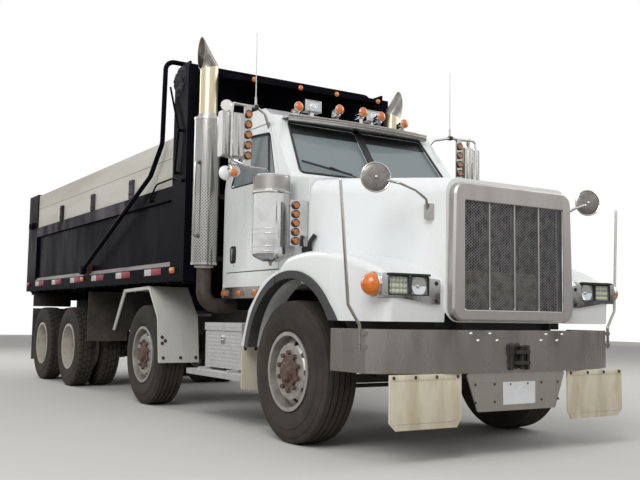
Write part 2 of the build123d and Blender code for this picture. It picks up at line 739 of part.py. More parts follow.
# Headlamps: a housing with two lenses, a strip on top, a bracket plate to the nose and a wedge below
with BuildPart() as headlamp:
    with BuildSketch(cross_plane(lamp_back_x)):
        with Locations((sum(lamp_y) / 2, sum(lamp_z) / 2)):
            RectangleRounded(lamp_y[1] - lamp_y[0], lamp_z[1] - lamp_z[0], 24)
    extrude(amount=lamp_face_x - lamp_back_x)
    for low, high in lens_ys:
        add(block((lamp_face_x - 22, lamp_face_x), (low, high), lens_z), mode=Mode.SUBTRACT)
    add(block((lamp_face_x, lamp_face_x + 26), (lens_ys[0][0], lens_ys[1][1]), (lens_z[1] + 3, lamp_z[1])))
    outline = [(lens_ys[0][0] - 4, lamp_z[1] - 26), (668, 1222), (658, 1212), (658, 1052), (720, 1052),
               (1010, 1092), (1060, lens_z[0] - 4), (lens_ys[0][0] - 4, lens_z[0] - 4)]
    add(plate(outline, cross_plane(lamp_face_x + 4), 8))
save(both_sides(headlamp.part), "headlamps")
with BuildPart() as lenses:
    for low, high in lens_ys:
        add(block((lamp_face_x - 22, lamp_face_x - 8), (low, high), lens_z))
save(both_sides(lenses.part), "headlamp_lenses")
turn_radius = 80
turn_x = lamp_face_x - turn_radius
turn_base_y = lamp_y[1] + 18
turn_z = 1179
with BuildPart() as turn_lamp:
    with BuildSketch(cross_plane(turn_x)):
        with BuildLine():
            Polyline((turn_base_y, turn_z + turn_radius), (lamp_y[1], turn_z + turn_radius), (lamp_y[1], turn_z),
                     (turn_base_y + turn_radius, turn_z))
            CenterArc((turn_base_y, turn_z), turn_radius, 0, 90)
        make_face()
    revolve(axis=Axis((turn_x, lamp_y[1], turn_z), (0, 1, 0)))
save(both_sides(turn_lamp.part), "turn_lamps")

# Rubber flares round the front arches, on the hood and behind it


def flare_ring(low_z, x_range):
    with BuildPart() as ring:
        with BuildSketch(side_plane(sum(flare_y) / 2)):
            with Locations(arch_centre):
                Circle(arch_radius + flare_width)
                Circle(arch_radius, mode=Mode.SUBTRACT)
        extrude(amount=(flare_y[1] - flare_y[0]) / 2, both=True)
        add(block(x_range, (flare_y[0] - 50, flare_y[1] + 50), (low_z, 1500)), mode=Mode.INTERSECT)
    return ring.part


save(both_sides(flare_ring(hood_bottom_z, (hood_rear_x, front_axle_x + 900))), "fender_flares")

# Rear ends of the front fenders, fixed below the cowl
rear_fender_end_z = 700
with BuildPart() as rear_fender:
    with BuildSketch(side_plane(1078)):
        with BuildLine():
            Polyline((cab_front_x, 1318), (front_axle_x - 470, 1232), (front_axle_x - 700, 1010),
                     (front_axle_x - 830, rear_fender_end_z), (front_axle_x - 600, rear_fender_end_z),
                     (front_axle_x - 400, 1000), (cab_front_x, 1200), close=True)
        make_face()
        with Locations(arch_centre):
            Circle(arch_radius + 4, mode=Mode.SUBTRACT)
    extrude(amount=108, both=True)
    add(pin((arch_centre[0], flare_y[0] * 1.5, arch_centre[1]), (0, 1, 0), arch_radius + flare_width,
            flare_y[0]), mode=Mode.SUBTRACT)
save(both_sides(rear_fender.part), "rear_fenders")
with flaps:
    add(flare_ring(rear_fender_end_z, (front_axle_x - 900, cab_front_x)))
save(both_sides(flaps.part), "flaps_and_rear_flares")

# Round mirrors on bent arms from the sides of the hood
hood_mirror_radius = 105
with BuildPart() as hood_mirror:
    head = (front_axle_x + 930, 1070, 1920)
    dish = Plane(origin=head, z_dir=(0.92, 0.38, 0))
    with BuildSketch(dish):
        Circle(hood_mirror_radius)
    extrude(amount=16)
    with BuildSketch(dish):
        Circle(hood_mirror_radius)
    extrude(amount=-34, taper=40)
    foot = (front_axle_x + 1004, 664, 1700)
    add(tube([foot, (front_axle_x + 1028, 700, 1790), (front_axle_x + 1038, 800, 1842),
              (front_axle_x + 1030, 930, 1880), (head[0] + 8, head[1] - 30, head[2] - 6)], 10, 30))
    add(block((foot[0] - 30, foot[0] + 30), (600, foot[1] + 14), (1655, 1762)))
    add(nose_solid(0, hood_rear_x), mode=Mode.SUBTRACT)
save(both_sides(hood_mirror.part), "hood_mirrors")


# Cab: the side outline of cowl, windscreen and roof, then the sides lean in above the sill
def cab_form(inset):
    side = cab_width / 2
    with BuildPart() as form:
        with BuildSketch(Plane.XZ) as outline:
            with BuildLine():
                Polyline(
                    (cab_front_x, cab_bottom_z),
                    (cab_front_x, hood_top_rear_z),
                    (front_axle_x - 455, cowl_top_z),
                    (front_axle_x - 905, roof_edge_z),
                    (front_axle_x - 1060, roof_top_z - 15),
                    (front_axle_x - 1300, roof_top_z),
                    (cab_rear_x + 90, roof_top_z - 25),
                    (cab_rear_x, roof_top_z - 110),
                    (cab_rear_x, cab_bottom_z),
                    close=True,
                )
            make_face()
            if inset:
                offset(amount=-inset, kind=Kind.INTERSECTION)
        extrude(amount=side - inset, both=True)
        for sign in (1, -1):
            lean = [(sign * (side - inset), sill_z), (sign * (side - 78 - inset), roof_top_z + 20),
                    (sign * (side + 60), roof_top_z + 20), (sign * (side + 60), sill_z)]
            add(plate(lean, cross_plane(front_axle_x - 1000), 2600), mode=Mode.SUBTRACT)
            plan = [(front_axle_x - 640, sign * (side - inset)),
                    (cab_front_x + 20, sign * (hood_half_width_rear - 2 - inset)),
                    (cab_front_x + 20, sign * (side + 60)), (front_axle_x - 640, sign * (side + 60))]
            add(plate(plan, level_plane(2000), 2200), mode=Mode.SUBTRACT)
    return form.part


# Door outline in the truck's side view, shrunk by a gap for the door itself
def door_outline(gap):
    return [
        (door_front_x - gap, door_bottom_z + gap),
        (door_front_x - gap, sill_z - 20),
        (front_axle_x - 898 - gap * 1.3, door_top_z - 50 - gap),
        (front_axle_x - 940 - gap, door_top_z - gap),
        (front_axle_x - 1420 + gap, door_top_z - gap),
        (front_axle_x - 1480 + gap, door_top_z - 40 - gap),
        (door_rear_x + gap, sill_z - 20),
        (door_rear_x + gap, door_bottom_z + gap),
    ]


window_outline = [
    (door_front_x - 95, sill_z + 10),
    (front_axle_x - 905, door_top_z - 100),
    (front_axle_x - 1400, door_top_z - 62),
    (door_rear_x + 75, sill_z + 10),
]


# Windscreen panes lie on the slope from the cowl to the roof's edge
screen_low = (front_axle_x - 455, cowl_top_z)
screen_high = (front_axle_x - 905, roof_edge_z)
screen_rise = hypot(screen_high[0] - screen_low[0], screen_high[1] - screen_low[1])
screen_tilt = degrees(atan2(screen_high[1] - screen_low[1], screen_low[0] - screen_high[0]))
screen_plane = Plane(
    origin=(screen_low[0], 0, screen_low[1]),
    x_dir=(0, 1, 0),
    z_dir=(sin(radians(screen_tilt)), 0, cos(radians(screen_tilt))),
)
pane_outline = [(28, 62), (828, 62), (745, screen_rise - 58), (28, screen_rise - 58)]


def pane(plane, points, depth, corner):
    with BuildPart() as piece:
        with BuildSketch(plane) as sketch:
            with BuildLine():
                Polyline(*points, close=True)
            make_face()
            fillet(sketch.vertices(), corner)
        extrude(amount=depth / 2, both=True)
    return piece.part


rear_window = [(-640, 2200), (640, 2200), (600, 2560), (-600, 2560)]
cab_seat_z = cab_bottom_z + cab_wall
with BuildPart() as cab:
    add(cab_form(0))
    add(cab_form(cab_wall), mode=Mode.SUBTRACT)
    for sign in (1, -1):
        add(plate(door_outline(0), side_plane(sign * cab_width / 2), 320), mode=Mode.SUBTRACT)
        points = [(sign * y, z) for y, z in pane_outline]
        add(pane(screen_plane, points, 160, 40), mode=Mode.SUBTRACT)
    add(pane(cross_plane(cab_rear_x), rear_window, 160, 60), mode=Mode.SUBTRACT)

with BuildPart() as glass:
    for sign in (1, -1):
        points = [(sign * y, z) for y, z in pane_outline]
        add(pane(screen_plane.offset(-24), points, glass_thickness, 40))
    add(pane(cross_plane(cab_rear_x + 22), rear_window, glass_thickness, 60))
save(glass.part, "cab_glass")

# Doors cut from the same form, with the window's frame and its glass
glass_inset = 20
for side, sign in (("left", 1), ("right", -1)):
    with BuildPart() as door:
        add(cab_form(0))
        add(cab_form(door_wall), mode=Mode.SUBTRACT)
        add(plate(door_outline(door_gap), side_plane(sign * cab_width / 2), 400), mode=Mode.INTERSECT)
        with BuildSketch(side_plane(sign * cab_width / 2)) as opening:
            with BuildLine():
                Polyline(*window_outline, close=True)
            make_face()
            fillet(opening.vertices(), 36)
        extrude(amount=200, both=True, mode=Mode.SUBTRACT)
    save(door.part, "door_" + side)
    with BuildPart() as door_glass:
        add(cab_form(glass_inset))
        add(cab_form(glass_inset + glass_thickness), mode=Mode.SUBTRACT)
        with BuildSketch(side_plane(sign * cab_width / 2)) as opening:
            with BuildLine():
                Polyline(*window_outline, close=True)
            make_face()
            fillet(opening.vertices(), 36)
        extrude(amount=200, both=True, mode=Mode.INTERSECT)
    save(door_glass.part, "door_glass_" + side)

# Cab interior: two seats, the dash and the steering wheel
seat_y = 470
with BuildPart() as interior:
    for y in (seat_y, -seat_y):
        x = front_axle_x - 1240
        add(plate([(x - 230, 1480), (x + 250, 1480), (x + 250, 1600), (x - 230, 1580)], side_plane(y), 480, 30))
        add(plate([(x - 330, 1560), (x - 210, 1560), (x - 260, 2280), (x - 370, 2280)], side_plane(y), 460, 30))
        add(block((x - 180, x + 180), (y - 160, y + 160), (cab_seat_z, 1490)))
    outline = [(cab_front_x - cab_wall, 1700), (cab_front_x - cab_wall, 2020), (front_axle_x - 500, 2040),
               (front_axle_x - 690, 1960), (front_axle_x - 700, 1780), (front_axle_x - 560, 1700)]
    add(plate(outline, Plane.XZ, 1650))
    wheel_plane = Plane(origin=(front_axle_x - 830, seat_y, 1930), z_dir=(-0.55, 0, 1))
    add(tube([(front_axle_x - 640, seat_y, 1600), (front_axle_x - 828, seat_y, 1926)], 22))
    with BuildSketch(wheel_plane):
        Circle(225)
        Circle(200, mode=Mode.SUBTRACT)
        Rectangle(410, 34)
        Circle(48)
    extrude(amount=24)
save(interior.part, "cab_interior")

# Visor over the windscreen, sloping out and down
visor_sheet = 6
with BuildPart() as visor:
    low_x = front_axle_x - 790
    with BuildSketch(level_plane(2718)):
        with BuildLine():
            ThreePointArc((low_x, -780), (low_x + 70, 0), (low_x, 780))
            Line((low_x, 780), (front_axle_x - 893, 800))
            Line((front_axle_x - 893, 800), (front_axle_x - 893, -800))
            Line((front_axle_x - 893, -800), (low_x, -780))
        make_face()
    extrude(amount=visor_sheet)
    for y in (780, 400, -400, -780):
        add(plate([(front_axle_x - 893, 2720), (front_axle_x - 840, 2720), (front_axle_x - 893, 2752)],
                  side_plane(y), 6))
    add(cab_form(0), mode=Mode.SUBTRACT)
save(visor.part, "sun_visor")

# Roof lamps: five bullets, and two box lamps nearer the rear
roof_lamp_places = [(-775, 0), (-815, 237), (-815, -237), (-935, 603), (-935, -603)]
with BuildPart() as roof_lamps:
    for back, y in roof_lamp_places:
        x = front_axle_x + back
        with BuildSketch(Plane(origin=(x + 20, y, 2862), z_dir=(-1, 0, 0))):
            Circle(40)
        extrude(amount=120, taper=13)
        add(block((x - 90, x - 20), (y - 18, y + 18), (2730, 2850)))
    for y in (-350, 350):
        add(block((front_axle_x - 1160, front_axle_x - 1080), (y - 90, y + 90), (2880, 2990)))
        add(block((front_axle_x - 1140, front_axle_x - 1100), (y - 20, y + 20), (2830, 2880)))
    add(cab_form(0), mode=Mode.SUBTRACT)
save(roof_lamps.part, "roof_lamps")

# Air cleaners: round cans on the cowl's sides, with a clamp bracket
cleaner_x = front_axle_x - 450
cleaner_y = cab_width / 2 + 175
strip_y = (cab_width / 2 - 150, cab_width / 2 + 125)
cleaner_radius = 155
cleaner_z = (1400, 2112)
with BuildPart() as cleaner:
    with BuildSketch(Plane(origin=(cleaner_x, cleaner_y, 0), x_dir=(0, 1, 0), z_dir=(1, 0, 0))):
        with BuildLine():
            Polyline(
                (0, cleaner_z[0]),
                (70, cleaner_z[0]),
                (cleaner_radius - 12, cleaner_z[0] + 40),
                (cleaner_radius - 4, cleaner_z[0] + 60),
                (cleaner_radius - 4, 1950),
                (cleaner_radius + 6, 1956),
                (cleaner_radius + 6, 1972),
                (cleaner_radius - 6, 1978),
                (cleaner_radius - 6, cleaner_z[1] - 18),
                (cleaner_radius, cleaner_z[1] - 16),
                (cleaner_radius - 8, cleaner_z[1] - 4),
                (0, cleaner_z[1]),
                close=True,
            )
        make_face()
    revolve(axis=Axis((cleaner_x, cleaner_y, 0), (0, 0, 1)))
    for z in (1560, 1890):
        add(block((cleaner_x - 50, cleaner_x + 50), (strip_y[0], cleaner_y), (z - 16, z + 16)))
    add(block((cab_front_x - 18, cab_front_x - 6), strip_y, (1520, 1890)))
    add(cab_form(0), mode=Mode.SUBTRACT)
save(both_sides(cleaner.part), "air_cleaners")

# Lamp bars: five amber lamps on a strip beside each cleaner
with BuildPart() as cowl_lamps:
    for step in range(5):
        add(pin((cab_front_x, cab_width / 2 + 80, 1560 + step * 72), (1, 0, 0), 27, 24))
    add(block((cab_front_x - 18, cab_front_x - 6), strip_y, (1500, 1900)), mode=Mode.SUBTRACT)
save(both_sides(cowl_lamps.part), "cowl_lamps")

# Exhaust stacks with turned-out tips, elbows below and perforated shields round them
stack_x = front_axle_x - 1800
stack_y = cab_width / 2 + 150
stack_pipe_radius = 88
stack_shield_radius = 128
stack_shield_z = (1430, 2850)
tip_joint_zs = {1: 3165, -1: 3345}
tip_angle = radians(33)
tip_wall = 5
with BuildPart() as stacks:
    for sign, joint_z in tip_joint_zs.items():
        y = sign * stack_y
        add(tube([(stack_x, sign * (stack_y - 330), 1050), (stack_x, y, 1050), (stack_x, y, 1500)],
                 stack_pipe_radius - 18, 140))
        tip_end = (stack_x, sign * (stack_y + 400 * sin(tip_angle)), joint_z + 400 * cos(tip_angle))
        add(tube([(stack_x, y, 1420), (stack_x, y, joint_z), tip_end], stack_pipe_radius))
        add(tube([(stack_x, y, joint_z - 150), (stack_x, y, joint_z), tip_end], stack_pipe_radius - tip_wall),
            mode=Mode.SUBTRACT)
        # The tip's mouth is cut upright, facing outward
        mouth_y = sign * (stack_y + stack_pipe_radius + 2)
        add(block((stack_x - 200, stack_x + 200), (mouth_y, mouth_y + sign * 500), (2900, 4000)),
            mode=Mode.SUBTRACT)
        for z in (1500, 2100, 2760):
            inner_y = sign * (stack_y - 250)
            add(block((stack_x - 20, cab_rear_x), (inner_y, inner_y + sign * 40), (z - 20, z + 20)))
            add(block((stack_x - 20, stack_x + 20), (inner_y, y), (z - 20, z + 20)))
save(stacks.part, "exhaust_stacks")
with BuildPart() as shield:
    add(pin((stack_x, stack_y, sum(stack_shield_z) / 2), (0, 0, 1), stack_shield_radius,
            stack_shield_z[1] - stack_shield_z[0], stack_shield_radius - 6))
    grip = [(stack_x + 70, stack_y + 105, 2400), (stack_x + 100, stack_y + 165, 2400),
            (stack_x + 100, stack_y + 165, 1700), (stack_x + 70, stack_y + 105, 1700)]
    add(tube(grip, 12, 30))
    add(pin((stack_x, stack_y, 2000), (0, 0, 1), stack_shield_radius - 6, 2200), mode=Mode.SUBTRACT)
    for z in (1500, 2100, 2760):
        add(block((stack_x - 24, stack_x + 24), (stack_y - 400, stack_y), (z - 24, z + 24)),
            mode=Mode.SUBTRACT)
save(both_sides(shield.part), "stack_shields")

# Tool box with its lid and the step board on the right, a round tank with steps on the left
box_x = (front_axle_x - 1830, front_axle_x - 1075)
step_x = (front_axle_x - 1990, front_axle_x - 860)
with BuildPart() as tool_box:
    add(block(box_x, (-1050, -480), (480, 812)))
    add(block((box_x[0] - 8, box_x[1] + 8), (-1058, -480), (820, 890)))
    add(block((box_x[0] + 6, box_x[1] - 6), (-1040, -490), (812, 820)))
    add(block((box_x[0] + 60, box_x[0] + 120), (-480, -rail_outer_y), (760, 860)))
    add(block((box_x[1] - 120, box_x[1] - 60), (-480, -rail_outer_y), (760, 860)))
    add(block(step_x, (-1170, -960), (405, 455)))
    for x in (box_x[0] + 80, box_x[1] - 80):
        add(block((x - 20, x + 20), (-1150, -900), (455, 480)))
tank_radius = 300
with tool_box:
    middle_x = front_axle_x - 1300
    add(pin((middle_x, 790, 760), (1, 0, 0), tank_radius, 800))
    for x in (middle_x - 330, middle_x + 330):
        add(pin((x, 790, 760), (1, 0, 0), tank_radius + 8, 60))
        add(block((x - 30, x + 30), (rail_outer_y, 560), (rail_bottom_z + 20, 900)))
    add(block((middle_x - 360, middle_x + 360), (960, 1170), (455, 500)))
    for x in (middle_x - 330, middle_x + 330):
        add(block((x - 20, x + 20), (930, 1000), (470, 600)))
    add(block((middle_x - 300, middle_x + 300), (760, 1000), (1045, 1085)))
save(tool_box.part, "tool_box_and_tank")

# Strip below the cab with its marker lamps
with BuildPart() as cab_skirt:
    add(block((front_axle_x - 1710, front_axle_x - 900), (cab_width / 2 - 70, cab_width / 2), (1115, cab_bottom_z)))
    for x in (front_axle_x - 1640, front_axle_x - 1330, front_axle_x - 1020):
        add(block((x - 45, x + 45), (cab_width / 2, cab_width / 2 + 12), (1140, 1190)))
    add(block((front_axle_x - 1560, front_axle_x - 1480), (rail_outer_y - 40, cab_width / 2 - 70), (1115, 1160)))
    add(block((front_axle_x - 1560, front_axle_x - 1480), (rail_outer_y - 60, rail_outer_y), (rail_top_z, 1220)))
    add(block((front_axle_x - 700, front_axle_x - 620), (rail_outer_y - 60, rail_outer_y), (rail_top_z, 1220)))
with cab:
    add(both_sides(cab_skirt.part))
save(cab.part, "cab_shell")

# Lift-axle fenders: faceted sheets over the lift wheels
fender_y = (755, 1200)
lift_fender = [(-875, 770), (-535, 1230), (240, 1250), (520, 930), (580, 466)]
with BuildPart() as lift_guard:
    outer = [(lift_axle_x + x, z) for x, z in lift_fender]
    with BuildSketch(side_plane(sum(fender_y) / 2)):
        with BuildLine():
            Polyline(*outer)
        trace(line_width=10)
    extrude(amount=(fender_y[1] - fender_y[0]) / 2, both=True)
    for x in (-300, 150):
        add(tube([(lift_axle_x + x, rail_outer_y, 960), (lift_axle_x + x, 600, 960),
                  (lift_axle_x + x, 790, 1200), (lift_axle_x + x, 1150, 1215)], 18, 60))
save(both_sides(lift_guard.part), "lift_fenders")

# Bed: long sills on the rails, a floor on cross beams, walls with box rails, and a sloped
# housing in the front wall that the hoist leans into
sill_y = (350, 425)
sill_z_range = (rail_top_z + 20, 1165)
floor_sheet = 10
housing_half_width = 260
housing_top_z = 2900
housing_back_low = bed_front_x - 960
housing_back_high = bed_front_x - 440
cross_beam_spacing = 400
post_length = 520
front_post_depth = 340
wall_inner_y = bed_half_width - bed_wall
side_sheet_y = bed_half_width - 36
ledge_top_z = bed_sill_top_z + 48
tail_post_top_z = 2770
with BuildPart() as bed:
    # Floor and side walls
    add(block((bed_rear_x, bed_front_x), (-wall_inner_y, wall_inner_y), (bed_floor_z, bed_floor_z + floor_sheet)))
    for sign in (1, -1):
        inner = sign * wall_inner_y
        outer = sign * bed_half_width
        add(block((bed_rear_x, bed_front_x), (inner, sign * side_sheet_y), (bed_sill_top_z, bed_rail_bottom_z)))
        ledge = [(sign * side_sheet_y, bed_sill_top_z), (outer, bed_sill_top_z), (sign * side_sheet_y, ledge_top_z)]
        add(plate(ledge, cross_plane((bed_front_x + bed_rear_x) / 2), bed_front_x - bed_rear_x))
        add(block((bed_rear_x, bed_front_x), (inner, outer), (bed_floor_z, bed_sill_top_z)))
        add(block((bed_rear_x, bed_front_x), (inner, outer), (bed_rail_bottom_z, bed_rail_top_z)))
        # Corner posts, tall at the rear and taller at the front
        add(block((bed_rear_x, bed_rear_x + post_length), (inner, outer), (bed_floor_z, tail_post_top_z)))
        add(block((bed_front_x - front_post_depth, bed_front_x), (inner, outer), (bed_floor_z, bed_front_top_z)))
        # Long sills, with the eyes that turn on the hinge pin
        sill_rear = bed_hinge_x - 40
        add(block((sill_rear, bed_front_x), (sign * sill_y[0], sign * sill_y[1]), sill_z_range))
        add(pin((bed_hinge_x, sign * sum(sill_y) / 2, bed_hinge_z), (0, 1, 0), 60, sill_y[1] - sill_y[0]))
    # Front wall
    add(block((bed_front_x - bed_wall, bed_front_x), (-wall_inner_y, wall_inner_y), (bed_floor_z, bed_front_top_z)))
    # Cross beams under the floor
    beam_count = int((bed_front_x - bed_rear_x - 200) // cross_beam_spacing)
    for step in range(beam_count + 1):
        x = bed_rear_x + 90 + step * cross_beam_spacing
        add(block((x - 35, x + 35), (-690, 690), (sill_z_range[1], bed_floor_z)))
        add(block((x - 35, x + 35), (-wall_inner_y, wall_inner_y), (bed_floor_z - 16, bed_floor_z)))
    # The hoist's housing
    outline = [(bed_front_x, sill_z_range[1] - 30), (bed_front_x, housing_top_z), (housing_back_high, housing_top_z),
               (housing_back_low, sill_z_range[1] - 30)]
    add(plate(outline, Plane.XZ, 2 * housing_half_width), mode=Mode.SUBTRACT)
    walls = [(bed_front_x, bed_floor_z), (bed_front_x, housing_top_z + bed_sheet),
             (housing_back_high - bed_sheet, housing_top_z + bed_sheet), (housing_back_low + 38, bed_floor_z)]
    hollow = [(bed_front_x + 10, bed_floor_z - 10), (bed_front_x + 10, housing_top_z),
              (housing_back_high, housing_top_z), (housing_back_low + 38 + bed_sheet, bed_floor_z - 10)]
    with BuildPart(mode=Mode.PRIVATE) as housing:
        add(plate(walls, Plane.XZ, 2 * (housing_half_width + bed_sheet)))
        add(plate(hollow, Plane.XZ, 2 * housing_half_width), mode=Mode.SUBTRACT)
    add(housing.part)
    for y in (100, -100):
        outline = [(hoist_x - 60, housing_top_z), (hoist_x + 60, housing_top_z), (hoist_x + 50, 2650),
                   (hoist_x - 50, 2650)]
        add(plate(outline, side_plane(y), 20))
    add(pin((bed_hinge_x, 0, bed_hinge_z), (0, 1, 0), hinge_pin_radius + 0.5, 2000), mode=Mode.SUBTRACT)
# Pale side boards above the rails, with their stake pockets
stake_xs = [front_axle_x - 3555, front_axle_x - 4965, front_axle_x - 6370]
with BuildPart() as boards:
    low_x = bed_rear_x + post_length + 4
    high_x = bed_front_x - front_post_depth - 4
    add(block((low_x, high_x), (bed_half_width - 46, bed_half_width - 16), (bed_rail_top_z, board_top_z)))
save(both_sides(boards.part), "side_boards")
with BuildPart() as stakes:
    for x in stake_xs:
        add(block((x - 55, x + 55), (bed_half_width - 16, bed_half_width + 14), (bed_rail_top_z, bed_rail_top_z + 210)))
with bed:
    add(both_sides(stakes.part))

# Shield over the cab, reaching forward from the top of the front wall
shield_front_x = front_axle_x - 1550
canopy_low_z = 3235
with BuildPart() as canopy:
    add(block((bed_front_x - 60, bed_front_x), (-bed_half_width, bed_half_width), (bed_front_top_z, 3410)))
    slope = [(bed_front_x, 3330), (bed_front_x, 3400), (shield_front_x, canopy_low_z + 20),
             (shield_front_x, canopy_low_z - 20)]
    add(plate(slope, Plane.XZ, 2 * 960))
    for sign in (1, -1):
        clip = [(bed_front_x, sign * 960), (shield_front_x, sign * 845), (shield_front_x, sign * 1000),
                (bed_front_x, sign * 1000)]
        add(plate(clip, level_plane(3300), 400), mode=Mode.SUBTRACT)
with bed:
    add(canopy.part)

# Tarp roller with the gathered tarp, behind the canopy
with BuildPart() as roller:
    add(pin((bed_front_x - 215, 0, 3395), (0, 1, 0), 70, 2 * (bed_half_width - 60)))
save(roller.part, "tarp_roller")
with BuildPart() as roller_arms:
    for y in (bed_half_width - 45, -bed_half_width + 45):
        add(block((bed_front_x - 290, bed_front_x - 60), (y - 10, y + 10), (bed_front_top_z, 3480)))
    add(pin((bed_front_x - 215, 0, 3395), (0, 1, 0), 70, 2 * (bed_half_width - 60)), mode=Mode.SUBTRACT)
with bed:
    add(roller_arms.part)

# Tailgate: a ribbed panel hung between the rear posts from two top pins
gate_pin_z = 2705
gate_x = (tail_x, bed_rear_x - 8)
gate_half_width = 1120
gate_pin_x = (gate_x[0] + gate_x[1]) / 2 - 4
with BuildPart() as gate:
    add(block((gate_x[1] - 10, gate_x[1]), (-gate_half_width, gate_half_width), (1240, 2660)))
    for z in (1240, 1700, 2160, 2600):
        add(block(gate_x, (-gate_half_width, gate_half_width), (z, z + 60)))
    for step in range(-3, 4):
        y = step * (gate_half_width - 40) / 3
        add(block(gate_x, (y - 40, y + 40), (1240, 2660)))
    for y in (1110, -1110):
        add(block((gate_pin_x - 26, gate_pin_x + 26), (y - 10, y + 10), (2600, gate_pin_z)))
        add(pin((gate_pin_x, y, gate_pin_z), (0, 1, 0), 26, 20))
    add(pin((gate_pin_x, 0, gate_pin_z), (0, 1, 0), 16.5, 3000), mode=Mode.SUBTRACT)
save(gate.part, "tailgate")
with BuildPart() as gate_hinge:
    add(block((gate_pin_x - 26, bed_rear_x + 30), (1140, 1175), (gate_pin_z - 40, gate_pin_z + 40)))
    add(pin((gate_pin_x, 1130, gate_pin_z), (0, 1, 0), 16, 70))
with bed:
    add(both_sides(gate_hinge.part))

# Tarp arms: bent tubes on pivots low on the bed's sides, joined by a bar over the bed
arm_pivot = (front_axle_x - 5084, 1500)
arm_y = bed_half_width + 62
with BuildPart() as tarp_arms:
    route = [(arm_pivot[0], arm_y, arm_pivot[1]), (front_axle_x - 2810, arm_y, 2400),
             (front_axle_x - 2505, arm_y, 2700), (front_axle_x - 2473, arm_y, 3555), (front_axle_x - 2473, 0, 3555)]
    add(both_sides(tube(route, 25, 90)))
    for y in (arm_y, -arm_y):
        add(pin((arm_pivot[0], y, arm_pivot[1]), (0, 1, 0), 55, 56))
        add(pin((arm_pivot[0], y, arm_pivot[1]), (0, 1, 0), 18.5, 200), mode=Mode.SUBTRACT)
save(tarp_arms.part, "tarp_arms")
with BuildPart() as arm_pivots:
    add(block((arm_pivot[0] - 90, arm_pivot[0] + 90), (side_sheet_y - 6, bed_half_width + 22), (1440, 1570)))
    add(pin((arm_pivot[0], arm_y - 10, arm_pivot[1]), (0, 1, 0), 18, 90))
with bed:
    add(both_sides(arm_pivots.part))
save(bed.part, "bed_body")

# Hoist: a barrel on trunnions and three stages, drawn closed, with an eye at the top
eye_z = 2700
stage_radii = [82, 65, 48]
stage_gap = 1.0
barrel_top_z = 2440
with BuildPart() as barrel:
    add(pin((hoist_x, 0, (hoist_z - 150 + barrel_top_z) / 2), (0, 0, 1), barrel_radius, barrel_top_z - hoist_z + 150))
    add(pin((hoist_x, 0, (hoist_z - 110 + 4000) / 2), (0, 0, 1), stage_radii[0] + stage_gap, 4000 - hoist_z + 110),
        mode=Mode.SUBTRACT)
    for y in (135, -135):
        add(pin((hoist_x, y, hoist_z), (0, 1, 0), trunnion_radius, 80))
save(barrel.part, "hoist_barrel")
for step, radius in enumerate(stage_radii):
    with BuildPart() as stage:
        low = hoist_z - 100 + 14 * step
        high = barrel_top_z + 24 * (step + 1)
        add(pin((hoist_x, 0, (low + high) / 2), (0, 0, 1), radius, high - low))
        if step < len(stage_radii) - 1:
            bore = stage_radii[step + 1] + stage_gap
            add(pin((hoist_x, 0, (low + 12 + high + 10) / 2), (0, 0, 1), bore, high - low), mode=Mode.SUBTRACT)
        else:
            add(pin((hoist_x, 0, (high + eye_z) / 2), (0, 0, 1), radius - 8, eye_z - high))
            add(pin((hoist_x, 0, eye_z), (0, 1, 0), 62, 150))
            add(pin((hoist_x, 0, eye_z), (0, 1, 0), 32, 168))
    save(stage.part, "hoist_stage_" + str(step + 1))

# Door mirrors: a tall body on looped arms, a lamp bar and a small round mirror below
mirror_x = front_axle_x - 800
mirror_y = (cab_width / 2 + 295, cab_width / 2 + 490)
mirror_z = (2290, 2680)
with BuildPart() as mirror_body:
    add(block((mirror_x - 45, mirror_x + 45), mirror_y, mirror_z, 20))
    middle_y = sum(mirror_y) / 2
    upper = [(front_axle_x - 960, 870, 2600), (front_axle_x - 900, 960, 2735), (mirror_x, 1100, 2760),
             (mirror_x, middle_y, 2760), (mirror_x, middle_y, 2670)]
    add(tube(upper, 12, 24))
    lower = [(front_axle_x - 790, 930, 2125), (mirror_x + 10, 1000, 2225), (mirror_x, middle_y, 2225),
             (mirror_x, middle_y, 2300)]
    add(tube(lower, 12, 24))
    with BuildSketch(Plane(origin=(mirror_x + 6, middle_y - 40, 2175), z_dir=(1, 0.3, 0))):
        Circle(48)
    extrude(amount=22)
    # Lamp bar between the upper and the lower arm
    bar_y = mirror_y[0] - 55
    add(block((mirror_x + 4, mirror_x + 26), (bar_y - 32, bar_y + 32), (2230, 2755)))
    for step in range(5):
        add(pin((mirror_x + 30, bar_y, 2320 + step * 90), (1, 0, 0), 30, 24))
    add(cab_form(0), mode=Mode.SUBTRACT)
save(mirror_body.part, "mirror_left")
save(mirror(mirror_body.part, about=Plane.XZ), "mirror_right")
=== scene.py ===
"""Dump truck: the finish of every panel and the fine pieces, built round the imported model."""

import json
import math
from contextlib import contextmanager

import bpy
from mathutils import Matrix, Vector


